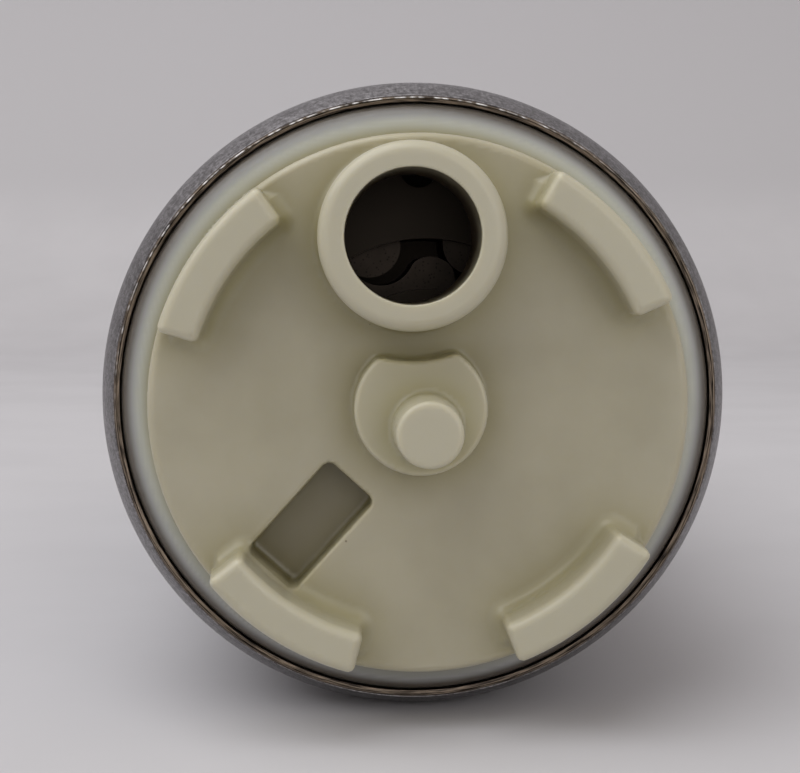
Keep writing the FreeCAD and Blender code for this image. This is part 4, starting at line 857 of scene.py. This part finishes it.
outletCap = {
    "crossLines": ((-18.9, 0.2), (18.9, 0)),
    "stations": ((78.8, 0.7), (94.6, 0.21), (99.4, 0.45), (107.2, 0.21), (108.4, 0)),
    "inner": 79.23, "discRadius": 16.5, "discFace": 98.5, "discEdge": 0.45, "discFoot": 0.25,
    "rimRadius": 17.4, "rimFace": 96.0, "rimEdge": 0.3, "land": 95.0,
    "collarTop": 18.21, "collarRadius": 18.65, "coneStart": 92.92, "coneEnd": 95.0,
    "grooveStart": 88.0, "grooveEnd": 90.0, "grooveRadius": 16.84,
    "socketDrop": 6.0, "socketWidth": 16.4, "socketHeight": 6.4, "socketWall": 1.5, "socketMouth": 108.0,
    "socketCorner": 1.0, "socketEdge": 0.35, "socketFoot": 0.4, "pocketCorner": 0.4, "pocketFillet": 0.25,
    "pocketEdge": 0.2,
    "bladeAcross": 5.1, "bladeWidth": 2.82, "bladeThickness": 0.82,
    "nippleUp": 9.0, "neck": 3.75, "neckFoot": 0.5, "neckEnd": 100.0, "valveChamber": 3.45,
    "valveEnd": 96.5, "nippleBore": 2.4,
    "guideOffset": 6.5, "guideWidth": 5.1, "guideHeight": 4.1, "guideDepth": 3.0, "springHole": 1.81,
    "springDepth": 5.0, "shaftHole": 2.15, "shaftDepth": 1.6,
    "reliefOffset": 12.3, "reliefBearing": 65.0, "reliefPassage": 1.2, "reliefSeat": 4.0,
    "reliefChamber": 2.4, "reliefEdge": 0.15,
}


def outletCapField(across, up, station):
    size = outletCap
    radius = np.hypot(across, up)
    depth = station - size["inner"]
    rim = roundMeet(radius - size["rimRadius"], station - size["rimFace"], size["rimEdge"])
    disc = roundMeet(radius - size["discRadius"], station - size["discFace"], size["discEdge"])
    body = roundJoin(rim, disc, size["discFoot"])
    lowered = up + size["socketDrop"]
    outside = rectangle(across, lowered, size["socketWidth"] + 2 * size["socketWall"],
                        size["socketHeight"] + 2 * size["socketWall"], size["socketCorner"])
    shroud = roundMeet(outside, station - size["socketMouth"], size["socketEdge"])
    body = roundJoin(body, shroud, size["socketFoot"])
    fromNipple = np.hypot(across, up - size["nippleUp"])
    neck = np.maximum(fromNipple - size["neck"], station - size["neckEnd"])
    body = roundJoin(body, neck, size["neckFoot"])
    cone = np.clip((station - size["coneStart"]) / (size["coneEnd"] - size["coneStart"]), 0, 1)
    collar = radius - size["collarRadius"] + cone * (size["collarRadius"] - size["collarTop"])
    collar = np.maximum(collar, station - size["land"])
    body = np.maximum(np.minimum(body, collar), -sealGroove(size, radius, station))
    inside = rectangle(across, lowered, size["socketWidth"], size["socketHeight"], size["pocketCorner"])
    pocket = roundMeet(inside, size["discFace"] - station, size["pocketFillet"])
    body = roundCut(body, pocket, size["pocketEdge"])
    sideways = np.abs(across) - size["bladeAcross"]
    holes = [rectangle(sideways, lowered, size["bladeWidth"], size["bladeThickness"], 0.0)]
    sideways, outward = up, np.abs(across) - size["guideOffset"]
    guide = rectangle(sideways, outward, size["guideWidth"], size["guideHeight"], 0.0)
    holes.append(np.maximum(guide, depth - size["guideDepth"]))
    holes.append(np.maximum(np.hypot(sideways, outward) - size["springHole"],
                            depth - size["guideDepth"] - size["springDepth"]))
    holes.append(np.maximum(radius - size["shaftHole"], depth - size["shaftDepth"]))
    holes.append(np.maximum(fromNipple - size["valveChamber"], station - size["valveEnd"]))
    holes.append(fromNipple - size["nippleBore"])
    sideways, outward = alongBearing(across, up, size["reliefBearing"], size["reliefOffset"])
    fromRelief = np.hypot(sideways, outward)
    holes.append(fromRelief - size["reliefPassage"])
    body = np.maximum(body, -np.minimum.reduce(np.broadcast_arrays(*holes)))
    chamber = np.maximum(fromRelief - size["reliefChamber"], size["reliefSeat"] - depth)
    body = roundCut(body, chamber, size["reliefEdge"])
    return np.maximum(body, size["inner"] - station)


cross = gridLine(*outletCap["crossLines"])
outletMoulding = fieldSurface("outlet_cap_moulding", outletCapField,
                              cross, cross, gridLine(*outletCap["stations"]), shadedEnd=0.0)
dress(outletMoulding, "cap_plastic")
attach(outletMoulding, "housing")
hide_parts("outlet_cap")

nipple = {
    "start": 97.0, "bore": 2.4, "neck": 3.75, "face": 98.5, "neckLength": 6.0, "crest": 4.4,
    "pitch": 3.6, "slope": 2.7, "barbs": 3, "tip": 116.6, "tipRadius": 3.3, "crestEdge": 0.12,
    "tipEdge": 0.25, "footEdge": 0.15, "slopeEdge": 0.3, "longest": 0.8, "segments": 160,
}


def nippleProfile():
    size = nipple
    corners = [(size["bore"], size["start"], 0), (size["neck"], size["start"], 0)]
    for barb in range(size["barbs"]):
        foot = size["face"] + size["neckLength"] + barb * size["pitch"]
        corners += [(size["neck"], foot, size["footEdge"]), (size["crest"], foot, size["crestEdge"])]
        if barb < size["barbs"] - 1:
            corners.append((size["neck"], foot + size["slope"], size["slopeEdge"]))
    corners += [(size["tipRadius"], size["tip"], size["tipEdge"]),
                (size["bore"], size["tip"], size["footEdge"])]
    return finerProfile(roundedProfile(corners), size["longest"])


nippleBarbs = turnedSurface("outlet_nipple_barbs", nippleProfile()[::-1], nipple["segments"],
                            up=outletCap["nippleUp"])
dress(nippleBarbs, "cap_plastic")
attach(nippleBarbs, "housing")
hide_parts("outlet_cap")
print("caps made")

# Table and backdrop, one sheet that curves up behind the pump.

table = {
    "height": -0.0195, "front": -1.2, "bendStart": 0.36, "bendRadius": 0.2, "top": 0.9, "halfWidth": 1.5,
    "flatPoints": 12, "bendPoints": 25, "wallPoints": 5, "acrossPoints": 9,
    "colour": paint(199, 198, 202), "shade": paint(195, 194, 198), "wall": paint(189, 188, 192),
}


def makeTable():
    # A profile of depth and height, straight, round a quarter arc and straight up, carried sideways.
    angle = np.radians(np.linspace(-90, 0, table["bendPoints"]))
    bend = np.stack([table["bendStart"] + table["bendRadius"] * np.cos(angle),
                     table["height"] + table["bendRadius"] * (1 + np.sin(angle))], axis=1)
    flat = np.linspace(table["front"], table["bendStart"], table["flatPoints"])[:-1, None]
    flat = np.insert(flat, 1, table["height"], axis=1)
    wall = np.linspace(bend[-1, 1], table["top"], table["wallPoints"])[1:, None]
    wall = np.insert(wall, 0, bend[-1, 0], axis=1)
    profile = np.concatenate([flat, bend, wall])
    across = np.linspace(-table["halfWidth"], table["halfWidth"], table["acrossPoints"])
    x, depth = np.meshgrid(across, profile[:, 0])
    height = np.repeat(profile[:, 1:], len(across), axis=1)
    row, column = np.meshgrid(np.arange(len(profile) - 1), np.arange(len(across) - 1), indexing="ij")
    corner = row * len(across) + column
    faces = np.stack([corner, corner + 1, corner + len(across) + 1, corner + len(across)], axis=-1)
    sheet = meshFrom("table", np.stack([x, depth, height], axis=-1).reshape(-1, 3), faces.reshape(-1, 4))
    finish = bpy.data.materials.new("tableSheet")
    finish.use_nodes = True
    tree = finish.node_tree
    shader = tree.nodes["Principled BSDF"]
    shader.inputs["Roughness"].default_value = 0.75
    place = put(tree, "TexCoord").outputs["Object"]
    height = put(tree, "SeparateXYZ", {"Vector": place}).outputs["Z"]
    cloud = spread(tree, noise(tree, place, 35.0, 4.0), 0.35, 0.65)
    flatColour = mixed(tree, cloud, table["colour"], table["shade"])
    # Painted shade: the sheet fades to a darker wall colour from 2 to 5 centimetres up, where it turns into
    # the backdrop.
    raised = put(tree, "MapRange", {"Value": height, "From Min": 0.02, "From Max": 0.05},
                 interpolation_type="SMOOTHSTEP").outputs["Result"]
    tree.links.new(mixed(tree, raised, flatColour, table["wall"]), shader.inputs["Base Color"])
    sheet.data.materials.append(finish)


makeTable()

# Lamps: position, size, watts and colour of each soft lamp, all aimed at the pump's front.

lamps = {
    "key": {"at": (-0.3, -0.24, 0.6), "size": 0.8, "watts": 4.1, "colour": (0.97, 0.985, 1.0)},
    "fill": {"at": (0.35, -0.6, 0.12), "size": 0.5, "watts": 0.8, "colour": (1.0, 0.99, 0.97)},
}
aim = (0.0, -0.045, 0.0)

for name, lamp in lamps.items():
    data = bpy.data.lights.new(name, "AREA")
    data.energy, data.size, data.color = lamp["watts"], lamp["size"], lamp["colour"]
    light = bpy.data.objects.new(name, data)
    light.location = lamp["at"]
    toward = np.array(aim) - np.array(lamp["at"])
    tilt = math.atan2(math.hypot(toward[0], toward[1]), -toward[2])
    light.rotation_euler = (tilt, 0, math.atan2(toward[0], -toward[1]) + math.pi)
    bpy.context.scene.collection.objects.link(light)

room = {"colour": (1.0, 0.93, 0.87, 1), "level": 0.56, "shownColour": (0.85, 0.83, 0.83, 1)}
world = bpy.data.worlds.new("room")
bpy.context.scene.world = world
world.use_nodes = True
tree = world.node_tree
lit = tree.nodes["Background"]
lit.inputs["Color"].default_value = room["colour"]
lit.inputs["Strength"].default_value = room["level"]
shown = put(tree, "Background", {"Color": room["shownColour"], "Strength": 1.0})
ray = put(tree, "LightPath").outputs
seen = combined(tree, "MAXIMUM", ray["Is Camera Ray"], ray["Is Glossy Ray"])
seen = combined(tree, "MAXIMUM", seen, ray["Is Transmission Ray"])
choice = put(tree, "MixShader", {0: seen, 1: lit.outputs[0], 2: shown.outputs[0]})
tree.links.new(choice.outputs[0], tree.nodes["World Output"].inputs["Surface"])

# Camera, at the photograph's place: metres, degrees, and millimetres for the lens and its sensor.

view = {"at": (-0.004058, -0.144386, 0.007813), "pitch": -4.1447, "yaw": -1.827, "lens": 71.595,
        "sensor": 36, "nearest": 0.01}
camera = bpy.data.objects.new("camera", bpy.data.cameras.new("camera"))
camera.data.lens = view["lens"]
camera.data.sensor_width = view["sensor"]
camera.data.clip_start = view["nearest"]
camera.location = view["at"]
camera.rotation_euler = (math.radians(90 + view["pitch"]), 0, math.radians(view["yaw"]))
bpy.context.scene.collection.objects.link(camera)
bpy.context.scene.camera = camera
bpy.context.scene.view_settings.view_transform = "Standard"
print("stage, lamps and camera made")
